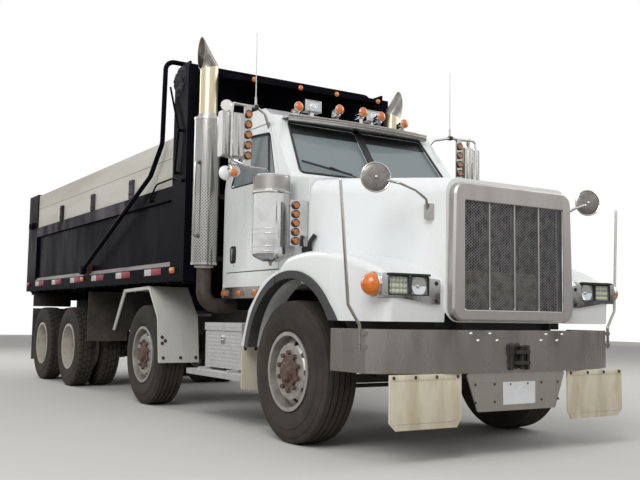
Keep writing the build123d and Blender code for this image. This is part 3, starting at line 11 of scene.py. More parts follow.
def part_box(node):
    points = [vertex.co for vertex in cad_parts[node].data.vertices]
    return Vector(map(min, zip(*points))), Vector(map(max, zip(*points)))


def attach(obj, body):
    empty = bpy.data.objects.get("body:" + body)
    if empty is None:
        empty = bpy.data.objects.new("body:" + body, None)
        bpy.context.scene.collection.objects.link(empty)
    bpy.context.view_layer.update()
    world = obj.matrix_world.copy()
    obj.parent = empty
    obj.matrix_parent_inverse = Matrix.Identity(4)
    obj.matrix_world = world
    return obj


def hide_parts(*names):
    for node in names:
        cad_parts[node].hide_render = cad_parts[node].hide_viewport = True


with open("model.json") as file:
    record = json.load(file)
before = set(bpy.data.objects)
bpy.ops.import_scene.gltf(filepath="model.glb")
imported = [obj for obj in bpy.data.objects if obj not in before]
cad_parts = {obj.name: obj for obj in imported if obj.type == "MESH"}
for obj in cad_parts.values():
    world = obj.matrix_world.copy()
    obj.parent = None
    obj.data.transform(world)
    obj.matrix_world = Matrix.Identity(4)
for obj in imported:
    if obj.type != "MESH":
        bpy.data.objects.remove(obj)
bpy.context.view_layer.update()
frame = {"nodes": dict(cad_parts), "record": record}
record = frame["record"]
body_of = {node: body for body, nodes in record["behaviour"]["bodies"].items() for node in nodes}

# Directions in the truck's frame, and its two sides with the sign of their y
forward = (1, 0, 0)
leftward = (0, 1, 0)
upward = (0, 0, 1)
sides = (("left", 1), ("right", -1))


# A matrix with three axes as its columns, at a place
def matrix_of(axes, place):
    return Matrix([(*axis, 0) for axis in axes] + [(*place, 1)]).transposed()


# Camera, at the photograph's viewing angle
camera_place = Vector((9.215, -4.501, 0.9525))
camera_yaw = math.radians(147.942)
camera_pitch = math.radians(5.149)
camera_roll = math.radians(0.843)
camera_lens = 48.31
camera_sensor = 36.0


def set_camera():
    ahead = Vector((math.cos(camera_pitch) * math.cos(camera_yaw),
                    math.cos(camera_pitch) * math.sin(camera_yaw), math.sin(camera_pitch)))
    right = ahead.cross(Vector((0, 0, 1))).normalized()
    above = right.cross(ahead)
    rolled_right = right * math.cos(camera_roll) + above * math.sin(camera_roll)
    rolled_above = above * math.cos(camera_roll) - right * math.sin(camera_roll)
    bpy.ops.object.camera_add(location=camera_place)
    camera = bpy.context.object
    camera.name = "camera"
    camera.matrix_world = matrix_of((rolled_right, rolled_above, -ahead), camera_place)
    camera.data.lens = camera_lens
    camera.data.sensor_width = camera_sensor
    camera.data.sensor_fit = "HORIZONTAL"
    camera.data.clip_end = 200
    bpy.context.scene.camera = camera


# Colour of an sRGB hex value, in linear light
def colour(hex_value, alpha=1.0):
    tones = [int(hex_value[i:i + 2], 16) / 255 for i in (1, 3, 5)]
    linear = [tone / 12.92 if tone <= 0.04045 else ((tone + 0.055) / 1.055) ** 2.4 for tone in tones]
    return (*linear, alpha)


# Adds one node, with its settings, its socket values and what its sockets are linked from
def add_node(tree, kind, settings=None, values=None, links=None):
    node = tree.nodes.new(kind)
    for name, value in (settings or {}).items():
        setattr(node, name, value)
    for socket, value in (values or {}).items():
        node.inputs[socket].default_value = value
    for socket, source in (links or {}).items():
        tree.links.new(source, node.inputs[socket])
    return node


# A plain shader of one colour, ready for the layers that a finish adds
def start_finish(name, base, metallic=0.0, roughness=0.5, **sockets):
    material = bpy.data.materials.new(name)
    material.use_nodes = True
    shader = material.node_tree.nodes["Principled BSDF"]
    shader.inputs["Base Color"].default_value = colour(base)
    shader.inputs["Metallic"].default_value = metallic
    shader.inputs["Roughness"].default_value = roughness
    for socket, value in sockets.items():
        shader.inputs[socket.replace("_", " ")].default_value = value
    return material, material.node_tree, shader


finishes = {}


# A finish whose base tone breaks up into a second tone, with fine relief and dust towards the ground.
# Sizes are in millimetres: patch_mm across one patch of tone, grain_mm across one grain of the relief.
def worn_finish(name, base, second, patch_mm=400, amount=0.5, grain_mm=8, relief_mm=0.1, metallic=0.0,
                roughness=0.5, roughness_spread=0.15, stretch=(1, 1, 1), dust="#8b8378", dust_top=1.2,
                dust_amount=0.4, grime=None, grime_mm=60, grime_share=0.3, **sockets):
    material, tree, shader = start_finish(name, base, metallic, roughness, **sockets)
    place = add_node(tree, "ShaderNodeTexCoord").outputs["Object"]
    stretched = add_node(tree, "ShaderNodeMapping", None, {"Scale": stretch}, {"Vector": place}).outputs[0]
    patches = add_node(tree, "ShaderNodeTexNoise", None,
                       {"Scale": 1000 / patch_mm, "Detail": 6, "Roughness": 0.62}, {"Vector": stretched})
    share = add_node(tree, "ShaderNodeMapRange", None,
                     {"From Min": 0.42, "From Max": 0.68, "To Max": amount},
                     {"Value": patches.outputs["Fac"]})
    tone = add_node(tree, "ShaderNodeMix", {"data_type": "RGBA"},
                    {"A": colour(base), "B": colour(second)}, {"Factor": share.outputs["Result"]})
    top = tone.outputs["Result"]
    if grime:
        spots = add_node(tree, "ShaderNodeTexNoise", None,
                         {"Scale": 1000 / grime_mm, "Detail": 8, "Roughness": 0.7}, {"Vector": stretched})
        spot_share = add_node(tree, "ShaderNodeMapRange", None,
                              {"From Min": 0.72 - grime_share * 0.5, "From Max": 0.8 - grime_share * 0.35},
                              {"Value": spots.outputs["Fac"]})
        top = add_node(tree, "ShaderNodeMix", {"data_type": "RGBA"}, {"B": colour(grime)},
                       {"Factor": spot_share.outputs["Result"], "A": top}).outputs["Result"]
    if dust_amount:
        height = add_node(tree, "ShaderNodeSeparateXYZ", None, None, {"Vector": place}).outputs["Z"]
        settled = add_node(tree, "ShaderNodeMapRange", None,
                           {"From Min": dust_top, "From Max": 0.2, "To Max": dust_amount},
                           {"Value": height})
        cloud = add_node(tree, "ShaderNodeTexNoise", None,
                         {"Scale": 1000 / 180, "Detail": 7, "Roughness": 0.7}, {"Vector": place})
        dusty = add_node(tree, "ShaderNodeMath", {"operation": "MULTIPLY"}, None,
                         {0: settled.outputs["Result"], 1: cloud.outputs["Fac"]})
        top = add_node(tree, "ShaderNodeMix", {"data_type": "RGBA"}, {"B": colour(dust)},
                       {"Factor": dusty.outputs[0], "A": top}).outputs["Result"]
    tree.links.new(top, shader.inputs["Base Color"])
    rough = add_node(tree, "ShaderNodeMapRange", None,
                     {"From Min": 0.3, "From Max": 0.7, "To Max": roughness + roughness_spread,
                      "To Min": max(roughness - roughness_spread / 2, 0.02)},
                     {"Value": patches.outputs["Fac"]})
    tree.links.new(rough.outputs["Result"], shader.inputs["Roughness"])
    if relief_mm:
        grain = add_node(tree, "ShaderNodeTexNoise", None,
                         {"Scale": 1000 / grain_mm, "Detail": 3}, {"Vector": stretched})
        bump = add_node(tree, "ShaderNodeBump", None, {"Strength": 0.5, "Distance": relief_mm / 1000},
                        {"Height": grain.outputs["Fac"]})
        tree.links.new(bump.outputs["Normal"], shader.inputs["Normal"])
    finishes[name] = material


# Gloss white enamel: smooth coat, faint yellow and grey washes where rain runs down
worn_finish("white_enamel", "#e6e9ea", "#d9dbd6", patch_mm=700, amount=0.6, grain_mm=14, relief_mm=0.05,
            roughness=0.22, roughness_spread=0.1, stretch=(1, 1, 0.3), dust="#a39a8c", dust_top=1.5,
            dust_amount=0.5, Coat_Weight=0.5, Coat_Roughness=0.08)
# Polished stainless steel: bright with cloudy smears drawn down the sheet
worn_finish("polished_steel", "#bebcb9", "#979491", patch_mm=260, amount=0.7, grain_mm=5, relief_mm=0.04,
            metallic=1.0, roughness=0.2, roughness_spread=0.16, stretch=(1, 1, 0.25), dust_amount=0.35,
            dust_top=1.0, grime="#7a4526", grime_mm=160, grime_share=0.08)
# Satin stainless sheet: brushed, dull grey
worn_finish("satin_steel", "#b4b1ad", "#a19e9a", patch_mm=300, amount=0.6, grain_mm=3, relief_mm=0.03,
            metallic=1.0, roughness=0.42, roughness_spread=0.1, stretch=(1, 1, 0.15), dust_amount=0.2)
# Chrome plate: mirror bright, a little hazed
worn_finish("chrome", "#d2d2d2", "#b6b4b0", patch_mm=180, grain_mm=6, relief_mm=0.02, metallic=1.0,
            roughness=0.1, roughness_spread=0.14, dust_amount=0.2)
# Black enamel on the bed: glossy, clouded by dust and runs of dirty water
worn_finish("bed_black", "#0b0b11", "#1c1c22", patch_mm=520, amount=0.55, grain_mm=10, relief_mm=0.08,
            roughness=0.24, roughness_spread=0.3, stretch=(1, 1, 0.35), dust="#4e4841", dust_top=1.5,
            dust_amount=0.2, IOR=1.2, Specular_IOR_Level=0.05)
# Black chassis paint: satin, grey with road dust and brown in places
worn_finish("chassis_black", "#1b1a1a", "#38332e", patch_mm=200, amount=0.7, grain_mm=5, relief_mm=0.3,
            roughness=0.6, roughness_spread=0.2, dust="#6f665b", dust_top=1.3, dust_amount=0.7,
            grime="#4a2f1f", grime_mm=90, grime_share=0.2)
# Tyre rubber: matt, brown-grey with dust, darker where it flexes
worn_finish("tyre_rubber", "#222120", "#3a3430", patch_mm=160, amount=0.8, grain_mm=4, relief_mm=0.3,
            roughness=0.85, roughness_spread=0.1, dust="#655b50", dust_top=1.3, dust_amount=0.45,
            Specular_IOR_Level=0.3)
# Moulded rubber of the arches: black, chalky on top
worn_finish("flare_rubber", "#26282c", "#3f4145", patch_mm=120, amount=0.6, grain_mm=2, relief_mm=0.2,
            roughness=0.6, dust_top=1.5)
# Pale mud flap vinyl with dirt washed down it
worn_finish("flap_vinyl", "#d9d2bd", "#b5aa8e", patch_mm=140, amount=0.8, grain_mm=3, relief_mm=0.2,
            roughness=0.55, stretch=(1, 1, 0.25), dust="#7c7261", dust_top=0.75, dust_amount=0.6)
# Cast aluminium wheel: dull, pitted, dusty
worn_finish("wheel_aluminium", "#c3c1bc", "#8f8b84", patch_mm=90, amount=0.6, grain_mm=3, relief_mm=0.15,
            metallic=0.75, roughness=0.42, dust="#8f857a", dust_amount=0.45, grime="#6b5a4b", grime_mm=30,
            grime_share=0.2)
# Pale painted wheel, dirty
worn_finish("wheel_paint", "#c9c5bb", "#a69f92", patch_mm=110, amount=0.7, grain_mm=4, relief_mm=0.15,
            dust="#857a6d", dust_amount=0.7, grime="#5d4c3e", grime_mm=40, grime_share=0.2)
# Galvanised sheet of the lift-axle fenders, nearly white
worn_finish("fender_sheet", "#d6d5cf", "#bebcb4", patch_mm=260, amount=0.6, grain_mm=5, relief_mm=0.08,
            metallic=0.15, roughness=0.4, stretch=(1, 1, 0.3), dust="#8d857a", dust_amount=0.35)
# Tread plate: bare aluminium, satin
worn_finish("tread_plate", "#d2d3d4", "#b4b5b5", patch_mm=120, amount=0.6, grain_mm=4, metallic=0.6,
            roughness=0.38, dust="#8d857a", dust_top=1.0)
# Weathered pale side boards: painted wood with long stains
worn_finish("side_board", "#c4c2b8", "#a7a396", patch_mm=420, amount=0.7, grain_mm=6, relief_mm=0.3,
            roughness=0.6, stretch=(0.12, 1, 1), dust_amount=0.0, grime="#837b6d", grime_mm=260,
            grime_share=0.12)
# Coated mesh tarp: black woven vinyl
worn_finish("tarp", "#17171a", "#2c2c30", patch_mm=90, grain_mm=3, relief_mm=0.6, roughness=0.7,
            dust_amount=0.0)
# Grained vinyl and carpet inside the cab
worn_finish("cab_vinyl", "#2e2f31", "#3c3d3f", patch_mm=60, grain_mm=2, relief_mm=0.3, roughness=0.7,
            dust_amount=0.0)
# Amber acrylic: saturated, clear surface
worn_finish("amber_lens", "#c9651a", "#dd8a32", patch_mm=30, amount=0.6, grain_mm=9, relief_mm=0.6,
            roughness=0.18, dust_amount=0.0, Coat_Weight=0.6)
# Older amber lenses of the lamp bars: browner, crazed
worn_finish("aged_amber", "#a9622a", "#bd8340", patch_mm=26, amount=0.9, grain_mm=7, relief_mm=0.5,
            roughness=0.3, dust_amount=0.0, Coat_Weight=0.3)
# Black moulded plastic trim; also the black of painted shade: the bands behind the windscreen's top and the
# liners inside the stack shields
worn_finish("black_trim_and_shade", "#121315", "#232426", patch_mm=60, grain_mm=2, relief_mm=0.15, dust_amount=0.2)
# Expanded steel of the grille: dull grey with dark specks of insects and dust
worn_finish("mesh_steel", "#98989a", "#4a4745", patch_mm=60, amount=0.7, grain_mm=3, metallic=0.8,
            roughness=0.45, dust_amount=0.2)
# Wheel hub and nuts: rust brown over grey paint, with greasy dark patches
worn_finish("rusty_hub", "#523628", "#7b7169", patch_mm=34, amount=0.7, grain_mm=3, relief_mm=0.4,
            metallic=0.2, roughness=0.75, dust="#8d8173", grime="#3b2b22", grime_mm=24, grime_share=0.5)
# Black enamel of the upper rail, sun-faded to grey in long patches
worn_finish("faded_black", "#57545a", "#1c1b1f", patch_mm=420, amount=1.0, roughness=0.4,
            roughness_spread=0.2, stretch=(0.7, 1, 0.3), dust_amount=0.0, grime="#777378", grime_mm=220,
            grime_share=0.2, IOR=1.2, Specular_IOR_Level=0.08)
# Dust settled on the ledge above the lower rail
worn_finish("dusty_ledge", "#8b8685", "#676263", patch_mm=200, amount=0.7, grain_mm=3, relief_mm=0.2,
            roughness=0.8, stretch=(0.3, 1, 1), dust_amount=0.3)
# Iron of the hitch: black paint worn to dark rust
worn_finish("hitch_iron", "#121010", "#241a17", patch_mm=40, amount=0.9, grain_mm=4, relief_mm=0.8,
            roughness=0.75, dust_amount=0.3, grime="#48312a", grime_mm=26, grime_share=0.15)
# Blank number plate: white painted aluminium, a little scuffed
worn_finish("plate_white", "#dfe1e4", "#c9ccd0", patch_mm=60, grain_mm=4, relief_mm=0.05, roughness=0.35,
            dust_amount=0.3)
# Reflective tape, white: film over fine beads, greyed
worn_finish("tape_white", "#c9c4c2", "#a39d98", patch_mm=50, amount=0.7, grain_mm=6, relief_mm=0.2,
            roughness=0.4, dust_amount=0.2)
# The same tape in red
worn_finish("tape_red", "#94243a", "#6e1f30", patch_mm=50, amount=0.7, grain_mm=6, relief_mm=0.2,
            roughness=0.4, dust_amount=0.2)
# Red acrylic of the tail lamps
worn_finish("red_lens", "#9c1f1c", "#bd3a2c", patch_mm=30, grain_mm=7, relief_mm=0.5, roughness=0.2,
            dust_amount=0.2, Coat_Weight=0.5)
# Clear domes over yellowish diodes
worn_finish("led_yellow", "#e9ebc4", "#c9cb94", patch_mm=14, amount=0.8, grain_mm=6, relief_mm=0.2,
            roughness=0.12, dust_amount=0.0, Coat_Weight=0.7)
# Board behind the diodes: dull grey
worn_finish("led_grey", "#84866a", "#6a6c58", patch_mm=20, grain_mm=3, roughness=0.4, dust_amount=0.0)
# Vacuum-plated reflector: very bright, smooth
worn_finish("reflector", "#e8e9ea", "#d4d6d8", patch_mm=40, amount=0.4, grain_mm=6, relief_mm=0.02,
            metallic=1.0, roughness=0.08, roughness_spread=0.08, dust_amount=0.0)
# Silvered mirror glass
worn_finish("mirror_glass", "#c9ced0", "#bfc4c6", patch_mm=120, amount=0.3, relief_mm=0.0, metallic=1.0,
            roughness=0.04, roughness_spread=0.05, dust_amount=0.1)
# Backs of the hood mirrors: dulled plate flecked with dirt
worn_finish("mirror_back", "#8b8885", "#6b6866", patch_mm=50, amount=0.8, grain_mm=3, metallic=0.8,
            roughness=0.4, dust_amount=0.0, grime="#3f3b39", grime_mm=22, grime_share=0.25)
# Black rubber of the rear flaps and guard panels: chalky brown-grey
worn_finish("flap_rubber", "#2a2725", "#474038", patch_mm=150, amount=0.8, grain_mm=4, relief_mm=0.3,
            roughness=0.75, dust_top=1.1, dust_amount=0.5)
# Seat cloth: dark grey, close weave
worn_finish("seat_cloth", "#3b3c40", "#2f3033", patch_mm=40, amount=0.6, grain_mm=1.5, relief_mm=0.5,
            roughness=0.9, dust_amount=0.0)
# Bezels of the marker lamps: dark chrome in shadow
worn_finish("dark_bezel", "#5c544e", "#3a3430", patch_mm=20, amount=0.6, grain_mm=3, relief_mm=0.05,
            metallic=0.9, roughness=0.3, dust_amount=0.0)
# Stack pipes: chrome stained straw by heat and road film
worn_finish("stained_chrome", "#d3c6a4", "#b8b2a4", patch_mm=200, amount=0.8, grain_mm=5, relief_mm=0.05,
            metallic=0.85, roughness=0.28, stretch=(1, 1, 0.25), dust_amount=0.0, grime="#a8794d",
            grime_mm=120, grime_share=0.2)
# Dust of the road in the radiator's lower fins
worn_finish("dusty_fins", "#7a705a", "#544d40", patch_mm=50, amount=0.9, grain_mm=3, relief_mm=0.8,
            roughness=0.9, stretch=(1, 0.3, 3), dust_amount=0.0)
# Stack elbows: aluminised steel dulled by heat, brown-grey
worn_finish("dull_pipe", "#514a46", "#38312d", patch_mm=90, amount=0.8, grain_mm=4, relief_mm=0.2,
            metallic=0.6, roughness=0.55, grime="#6b4632", grime_mm=70, grime_share=0.2)
# Stack tips: sooted steel
worn_finish("tip_steel", "#8a8682", "#55514e", patch_mm=110, amount=0.8, grain_mm=4, metallic=0.9,
            roughness=0.38, dust_amount=0.0, grime="#2e2a28", grime_mm=90)
# Radiator core: dark fins with tan dust and insects in the lower half
worn_finish("radiator_fins", "#1d1c1b", "#3a342c", patch_mm=80, amount=0.8, grain_mm=3, relief_mm=0.8,
            roughness=0.8, stretch=(1, 0.2, 4), dust="#8a7a60", dust_top=1.5, dust_amount=1.0)
# Shadowed joint between two planks
worn_finish("side_board_shadow", "#6f6b60", "#88847a", patch_mm=200, amount=0.6, grain_mm=5, relief_mm=0.2,
            roughness=0.8, stretch=(0.2, 1, 1), dust_amount=0.0)
# Rusty iron: brown, powdery
worn_finish("rusty_iron", "#4a3026", "#2a1f1a", patch_mm=40, amount=0.9, grain_mm=4, relief_mm=0.6,
            roughness=0.85, dust_amount=0.2, grime="#6b3d22", grime_mm=30, grime_share=0.25)


# A glass: its tint shows as far as alpha says, and its surface is smooth with faint smears
def glass_finish(name, tint, alpha, roughness=0.03):
    material, tree, shader = start_finish(name, tint, 0.0, roughness, IOR=1.5, Alpha=alpha)
    place = add_node(tree, "ShaderNodeTexCoord").outputs["Object"]
    film = add_node(tree, "ShaderNodeTexNoise", None, {"Scale": 1000 / 350, "Detail": 5}, {"Vector": place})
    smear = add_node(tree, "ShaderNodeMapRange", None,
                     {"From Min": 0.4, "From Max": 0.75, "To Min": roughness, "To Max": roughness + 0.12},
                     {"Value": film.outputs["Fac"]})
    tree.links.new(smear.outputs["Result"], shader.inputs["Roughness"])
    material.surface_render_method = "BLENDED"
    finishes[name] = material


# Tinted safety glass: grey-green body that shows little of the cab
glass_finish("tinted_glass", "#899496", 0.74)
# Clear lamp glass: nearly unseen but for its reflections
glass_finish("lamp_glass", "#dfe6e8", 0.28)

# Which finish each node of the model takes, and how wide its edges are rounded, in millimetres
node_finish = {
    "chassis_rails": ("chassis_black", 2),
    "front_axle": ("chassis_black", 2),
    "rear_axles": ("chassis_black", 2),
    "engine_and_radiator": ("chassis_black", 3),
    "front_bumper": ("polished_steel", 1.5),
    "flaps_and_rear_flares": ("flap_vinyl", 1.5),
    "rear_fenders": ("white_enamel", 4),
    "cab_shell": ("white_enamel", 4),
    "cab_glass": ("tinted_glass", 0),
    "cab_interior": ("cab_vinyl", 6),
    "sun_visor": ("polished_steel", 1.5),
    "roof_lamps": ("chrome", 0),
    "air_cleaners": ("chrome", 1),
    "cowl_lamps": ("aged_amber", 1),
    "exhaust_stacks": ("stained_chrome", 0),
    "tool_box_and_tank": ("tread_plate", 3),
    "lift_fenders": ("fender_sheet", 1.5),
    "hood": ("white_enamel", 4),
    "grille_surround": ("satin_steel", 2),
    "headlamps": ("chrome", 2),
    "headlamp_lenses": ("lamp_glass", 1),
    "turn_lamps": ("amber_lens", 0),
    "fender_flares": ("flare_rubber", 3),
    "hood_mirrors": ("polished_steel", 1),
    "door": ("white_enamel", 3),
    "door_glass": ("tinted_glass", 0),
    "mirror": ("polished_steel", 1),
    "knuckle": ("chassis_black", 2),
    "tie_rod": ("chassis_black", 0),
    "bed_body": ("bed_black", 3),
    "side_boards": ("side_board", 3),
    "tarp_roller": ("tarp", 2),
    "tailgate": ("bed_black", 3),
    "tarp_arms": ("bed_black", 1),
    "hoist_barrel": ("bed_black", 1),
    "hoist_stage": ("chrome", 1),
    "rim_drive": ("wheel_paint", 1),
    "rim": ("wheel_aluminium", 1),
}


# The row of a node: the longest name in the table that the node's own name starts with
def finish_for(node):
    names = [name for name in node_finish if node == name or node.startswith(name + "_")]
    return node_finish[max(names, key=len)]


# Nothing selected, as it must be before a new primitive
def deselect_all():
    if bpy.context.object and bpy.context.object.mode != "OBJECT":
        bpy.ops.object.mode_set(mode="OBJECT")
    bpy.ops.object.select_all(action="DESELECT")


# Only these objects selected, with the first of them active
def choose(*objects):
    deselect_all()
    for one in objects:
        one.select_set(True)
    bpy.context.view_layer.objects.active = objects[0]


# Applies all of a piece's modifiers, in their order
def apply_modifiers(piece):
    choose(piece)
    for modifier in list(piece.modifiers):
        bpy.ops.object.modifier_apply(modifier=modifier.name)


# Bakes a piece's place, turn and scale into its mesh
def fix_place(piece):
    choose(piece)
    bpy.ops.object.transform_apply(location=True, rotation=True, scale=True)
    return piece


# Edit mode for the lines inside it, with what is selected there and whether that is all to begin with
@contextmanager
def editing(elements=None, whole=False):
    bpy.ops.object.mode_set(mode="EDIT")
    if elements:
        bpy.ops.mesh.select_mode(type=elements)
    if whole:
        bpy.ops.mesh.select_all(action="SELECT")
    yield
    bpy.ops.object.mode_set(mode="OBJECT")


# Settles a piece: its name, finish and smooth shading, and the body of the node that it is on
def settle(piece, name, finish, node, smooth=40):
    fix_place(piece)
    piece.name = name
    piece.data.name = name
    piece.data.materials.clear()
    piece.data.materials.append(finishes[finish])
    if smooth:
        bpy.ops.object.shade_smooth_by_angle(angle=math.radians(smooth))
    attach(piece, body_of[node])
    return piece


dressed = {}


# A welded copy of a CAD node with its edges rounded, standing for that node
def dress(node):
    finish, edge_mm = finish_for(node)
    source = frame["nodes"][node]
    choose(source)
    bpy.ops.object.duplicate()
    copy = bpy.context.object
    copy.parent = None
    with editing(whole=True):
        bpy.ops.mesh.remove_doubles(threshold=0.00002)
        bpy.ops.mesh.dissolve_limited(angle_limit=math.radians(0.5))
    if edge_mm:
        rounding = copy.modifiers.new("edges", "BEVEL")
        rounding.width = edge_mm / 1000
        rounding.segments = 2
        rounding.limit_method = "ANGLE"
        rounding.angle_limit = math.radians(35)
        rounding.harden_normals = False
        apply_modifiers(copy)
    settle(copy, node + "_finished", finish, node, 30)
    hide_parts(node)
    dressed[node] = copy
    return copy


# Dresses every node, apart from the rims and those that new pieces stand for
def dress_all():
    for node in sorted(frame["nodes"]):
        if node.startswith(("tyre_", "rim_", "grille_mesh", "stack_shields")):
            continue
        dress(node)


# A cube stretched to a size, with its middle at a place
def cube(centre, size):
    deselect_all()
    bpy.ops.mesh.primitive_cube_add(size=1, location=centre, scale=size)
    return fix_place(bpy.context.object)


# A slab between two corners, its edges rounded
def slab(low, high, edge_mm=1.5):
    low, high = Vector(low), Vector(high)
    piece = cube((low + high) / 2, high - low)
    if edge_mm:
        with editing(whole=True):
            bpy.ops.mesh.bevel(offset=edge_mm / 1000, segments=2, affect="EDGES")
    return piece


# A line of edges through points, drawn by extruding one vertex
def drawn_line(points):
    deselect_all()
    bpy.ops.mesh.primitive_plane_add(size=0.01, location=(0, 0, 0))
    piece = bpy.context.object
    with editing("VERT", whole=True):
        bpy.ops.mesh.merge(type="CENTER")
        bpy.ops.transform.translate(value=points[0])
        for start, end in zip(points, points[1:]):
            step = Vector(end) - Vector(start)
            bpy.ops.mesh.extrude_region_move(TRANSFORM_OT_translate={"value": step})
    return piece


# A turned form: distances along its axis and radii, spun round the axis at a centre
def turned(profile, centre, axis, steps=32):
    piece = drawn_line([(along, 0, radius) for along, radius in profile])
    with editing(whole=True):
        bpy.ops.mesh.spin(steps=steps, angle=math.tau, center=(0, 0, 0), axis=(1, 0, 0))
        bpy.ops.mesh.select_all(action="SELECT")
        bpy.ops.mesh.remove_doubles(threshold=0.00001)
        bpy.ops.mesh.normals_make_consistent(inside=False)
    return stand(piece, centre, axis)


# Turns a piece that was made along X to lie along another axis, and moves it to its place
def stand(piece, centre, axis):
    piece.rotation_mode = "QUATERNION"
    piece.rotation_quaternion = Vector((1, 0, 0)).rotation_difference(Vector(axis))
    piece.location = centre
    return fix_place(piece)


# A round bar along a path of points, its corners rounded
def bent_bar(points, radius_mm, bend_mm=30, fineness=2):
    piece = drawn_line(points)
    if len(points) > 2 and bend_mm:
        ends = (Vector(points[0]), Vector(points[-1]))
        for edge in piece.data.edges:
            edge.select = False
        for vertex in piece.data.vertices:
            vertex.select = min((vertex.co - end).length for end in ends) > 0.0001
        with editing():
            bpy.ops.mesh.bevel(offset=bend_mm / 1000, segments=5, affect="VERTICES")
    return thickened(piece, radius_mm, fineness)


# A line of edges made a round bar; its section has four times fineness and four sides
def thickened(piece, radius_mm, fineness):
    choose(piece)
    bpy.ops.object.convert(target="CURVE")
    piece = bpy.context.object
    piece.data.bevel_depth = radius_mm / 1000
    piece.data.bevel_resolution = fineness
    piece.data.use_fill_caps = True
    bpy.ops.object.convert(target="MESH")
    return bpy.context.object


# One mesh of several pieces
def joined(pieces):
    choose(*pieces)
    if len(pieces) > 1:
        bpy.ops.object.join()
    return bpy.context.object


# Copies of a piece at a list of steps from where it stands, as one mesh with the first
def repeated(piece, steps):
    pieces = [piece]
    for step in steps:
        choose(piece)
        bpy.ops.object.duplicate()
        copy = bpy.context.object
        copy.location = step
        pieces.append(fix_place(copy))
    return joined(pieces)


# The same piece on the other side of the truck, as its own mesh
def other_side(piece):
    choose(piece)
    bpy.ops.object.duplicate()
    copy = bpy.context.object
    copy.scale = (1, -1, 1)
    fix_place(copy)
    with editing(whole=True):
        bpy.ops.mesh.flip_normals()
    return copy


# A piece and its mirror image on the truck's other side, as one mesh
def both_sides(piece):
    return joined([piece, other_side(piece)])


# A place given for the left side, on the side with this sign
def on_side(place, sign):
    return (place[0], sign * place[1], place[2])


# Hexagon heads on washers at several places, facing one way; size_mm is across the flats
def bolt_heads(places, facing, size_mm=18):
    across = size_mm / 1000
    deselect_all()
    bpy.ops.mesh.primitive_cylinder_add(vertices=6, radius=across * 0.577, depth=across * 0.55,
                                        location=(across * 0.36, 0, 0), rotation=(0, math.pi / 2, 0))
    head = fix_place(bpy.context.object)
    with editing(whole=True):
        bpy.ops.mesh.bevel(offset=across * 0.06, segments=1, affect="EDGES")
    washer = turned([(-0.001, 0), (-0.001, across * 0.95), (across * 0.1, across * 0.9), (across * 0.1, 0)],
                    (0, 0, 0), forward, 16)
    first = Vector(places[0])
    bolt = stand(joined([head, washer]), first, facing)
    return repeated(bolt, [Vector(place) - first for place in places[1:]])


# Selects the faces whose centre and normal pass a test
def select_faces(piece, wanted):
    for polygon in piece.data.polygons:
        polygon.select = wanted(polygon.center, polygon.normal)
    for edge in piece.data.edges:
        edge.select = False
    for vertex in piece.data.vertices:
        vertex.select = False


# A second finish on the faces that a test picks out
def paint_faces(piece, finish, wanted):
    choose(piece)
    piece.data.materials.append(finishes[finish])
    piece.active_material_index = len(piece.data.materials) - 1
    select_faces(piece, wanted)
    with editing("FACE"):
        bpy.ops.object.material_slot_assign()


# Wheel stations, back from the front axle: name, axle x, tyre radius, outer rim face y, rim width, twin
front_axle_x = 3.515
wheel_stations = [
    ("front", front_axle_x, 0.540, 1.210, 0.300, False),
    ("lift", front_axle_x - 3.210, 0.530, 1.160, 0.300, False),
    ("drive_1", front_axle_x - 5.877, 0.522, 1.204, 0.230, True),
    ("drive_2", front_axle_x - 7.231, 0.522, 1.204, 0.230, True),
]
dual_spacing = 0.330
tyre_bead_radius = 0.286
# Half the width of a tyre and the steps round it
drive_tyre = (0.126, 152)
single_tyre = (0.1575, 96)


# Half a tyre's section: wall points by their depth in from the side and their radius, the shoulder, and
# tread points by their place across and their depth
def tyre_profile(radius, half, wall, shoulder, tread):
    return ([(half - depth, reach) for depth, reach in wall] + shoulder
            + [(across, radius - depth) for across, depth in tread])


# A ribbed tyre: side wall with its bead, flex line and shoulder step, and four grooves in the tread
def ribbed_profile(radius, half):
    wall = [(0.036, 0.290), (0.022, 0.300), (0.016, 0.318), (0.011, 0.322), (0.003, 0.372), (0, 0.420),
            (0.001, 0.428), (0.006, 0.432), (0.010, 0.470), (0.017, 0.494), (0.022, 0.497)]
    shoulder = [(half - 0.027, radius - 0.016), (half - 0.036, radius - 0.005)]
    tread = [(0.079, 0.001), (0.077, 0.014), (0.067, 0.014), (0.065, 0.0005), (0.030, 0), (0.028, 0.014),
             (0.018, 0.014), (0.016, 0), (0, 0)]
    return tyre_profile(radius, half, wall, shoulder, tread)


# A drive tyre: the same side wall, with a tread divided for blocks
def block_profile(radius, half):
    wall = [(0.030, 0.290), (0.018, 0.300), (0.013, 0.318), (0.008, 0.322), (0.002, 0.366), (0, 0.410),
            (0.001, 0.418), (0.005, 0.422), (0.009, 0.455), (0.013, 0.478)]
    shoulder = [(half - 0.019, radius - 0.022), (half - 0.026, radius - 0.006)]
    tread = [(0.062, 0.001), (0.059, 0.017), (0.053, 0.017), (0.050, 0.001), (0.006, 0), (0.004, 0.012),
             (0, 0.012)]
    return tyre_profile(radius, half, wall, shoulder, tread)


# A whole tyre at the origin: the half section mirrored, closed along its bead and spun
def tyre(profile, steps):
    mirrored = [(-across, reach) for across, reach in reversed(profile[:-1])]
    bead = profile[0][0]
    inside = [(-bead, tyre_bead_radius), (bead, tyre_bead_radius), profile[0]]
    return turned(profile + mirrored + inside, (0, 0, 0), leftward, steps)


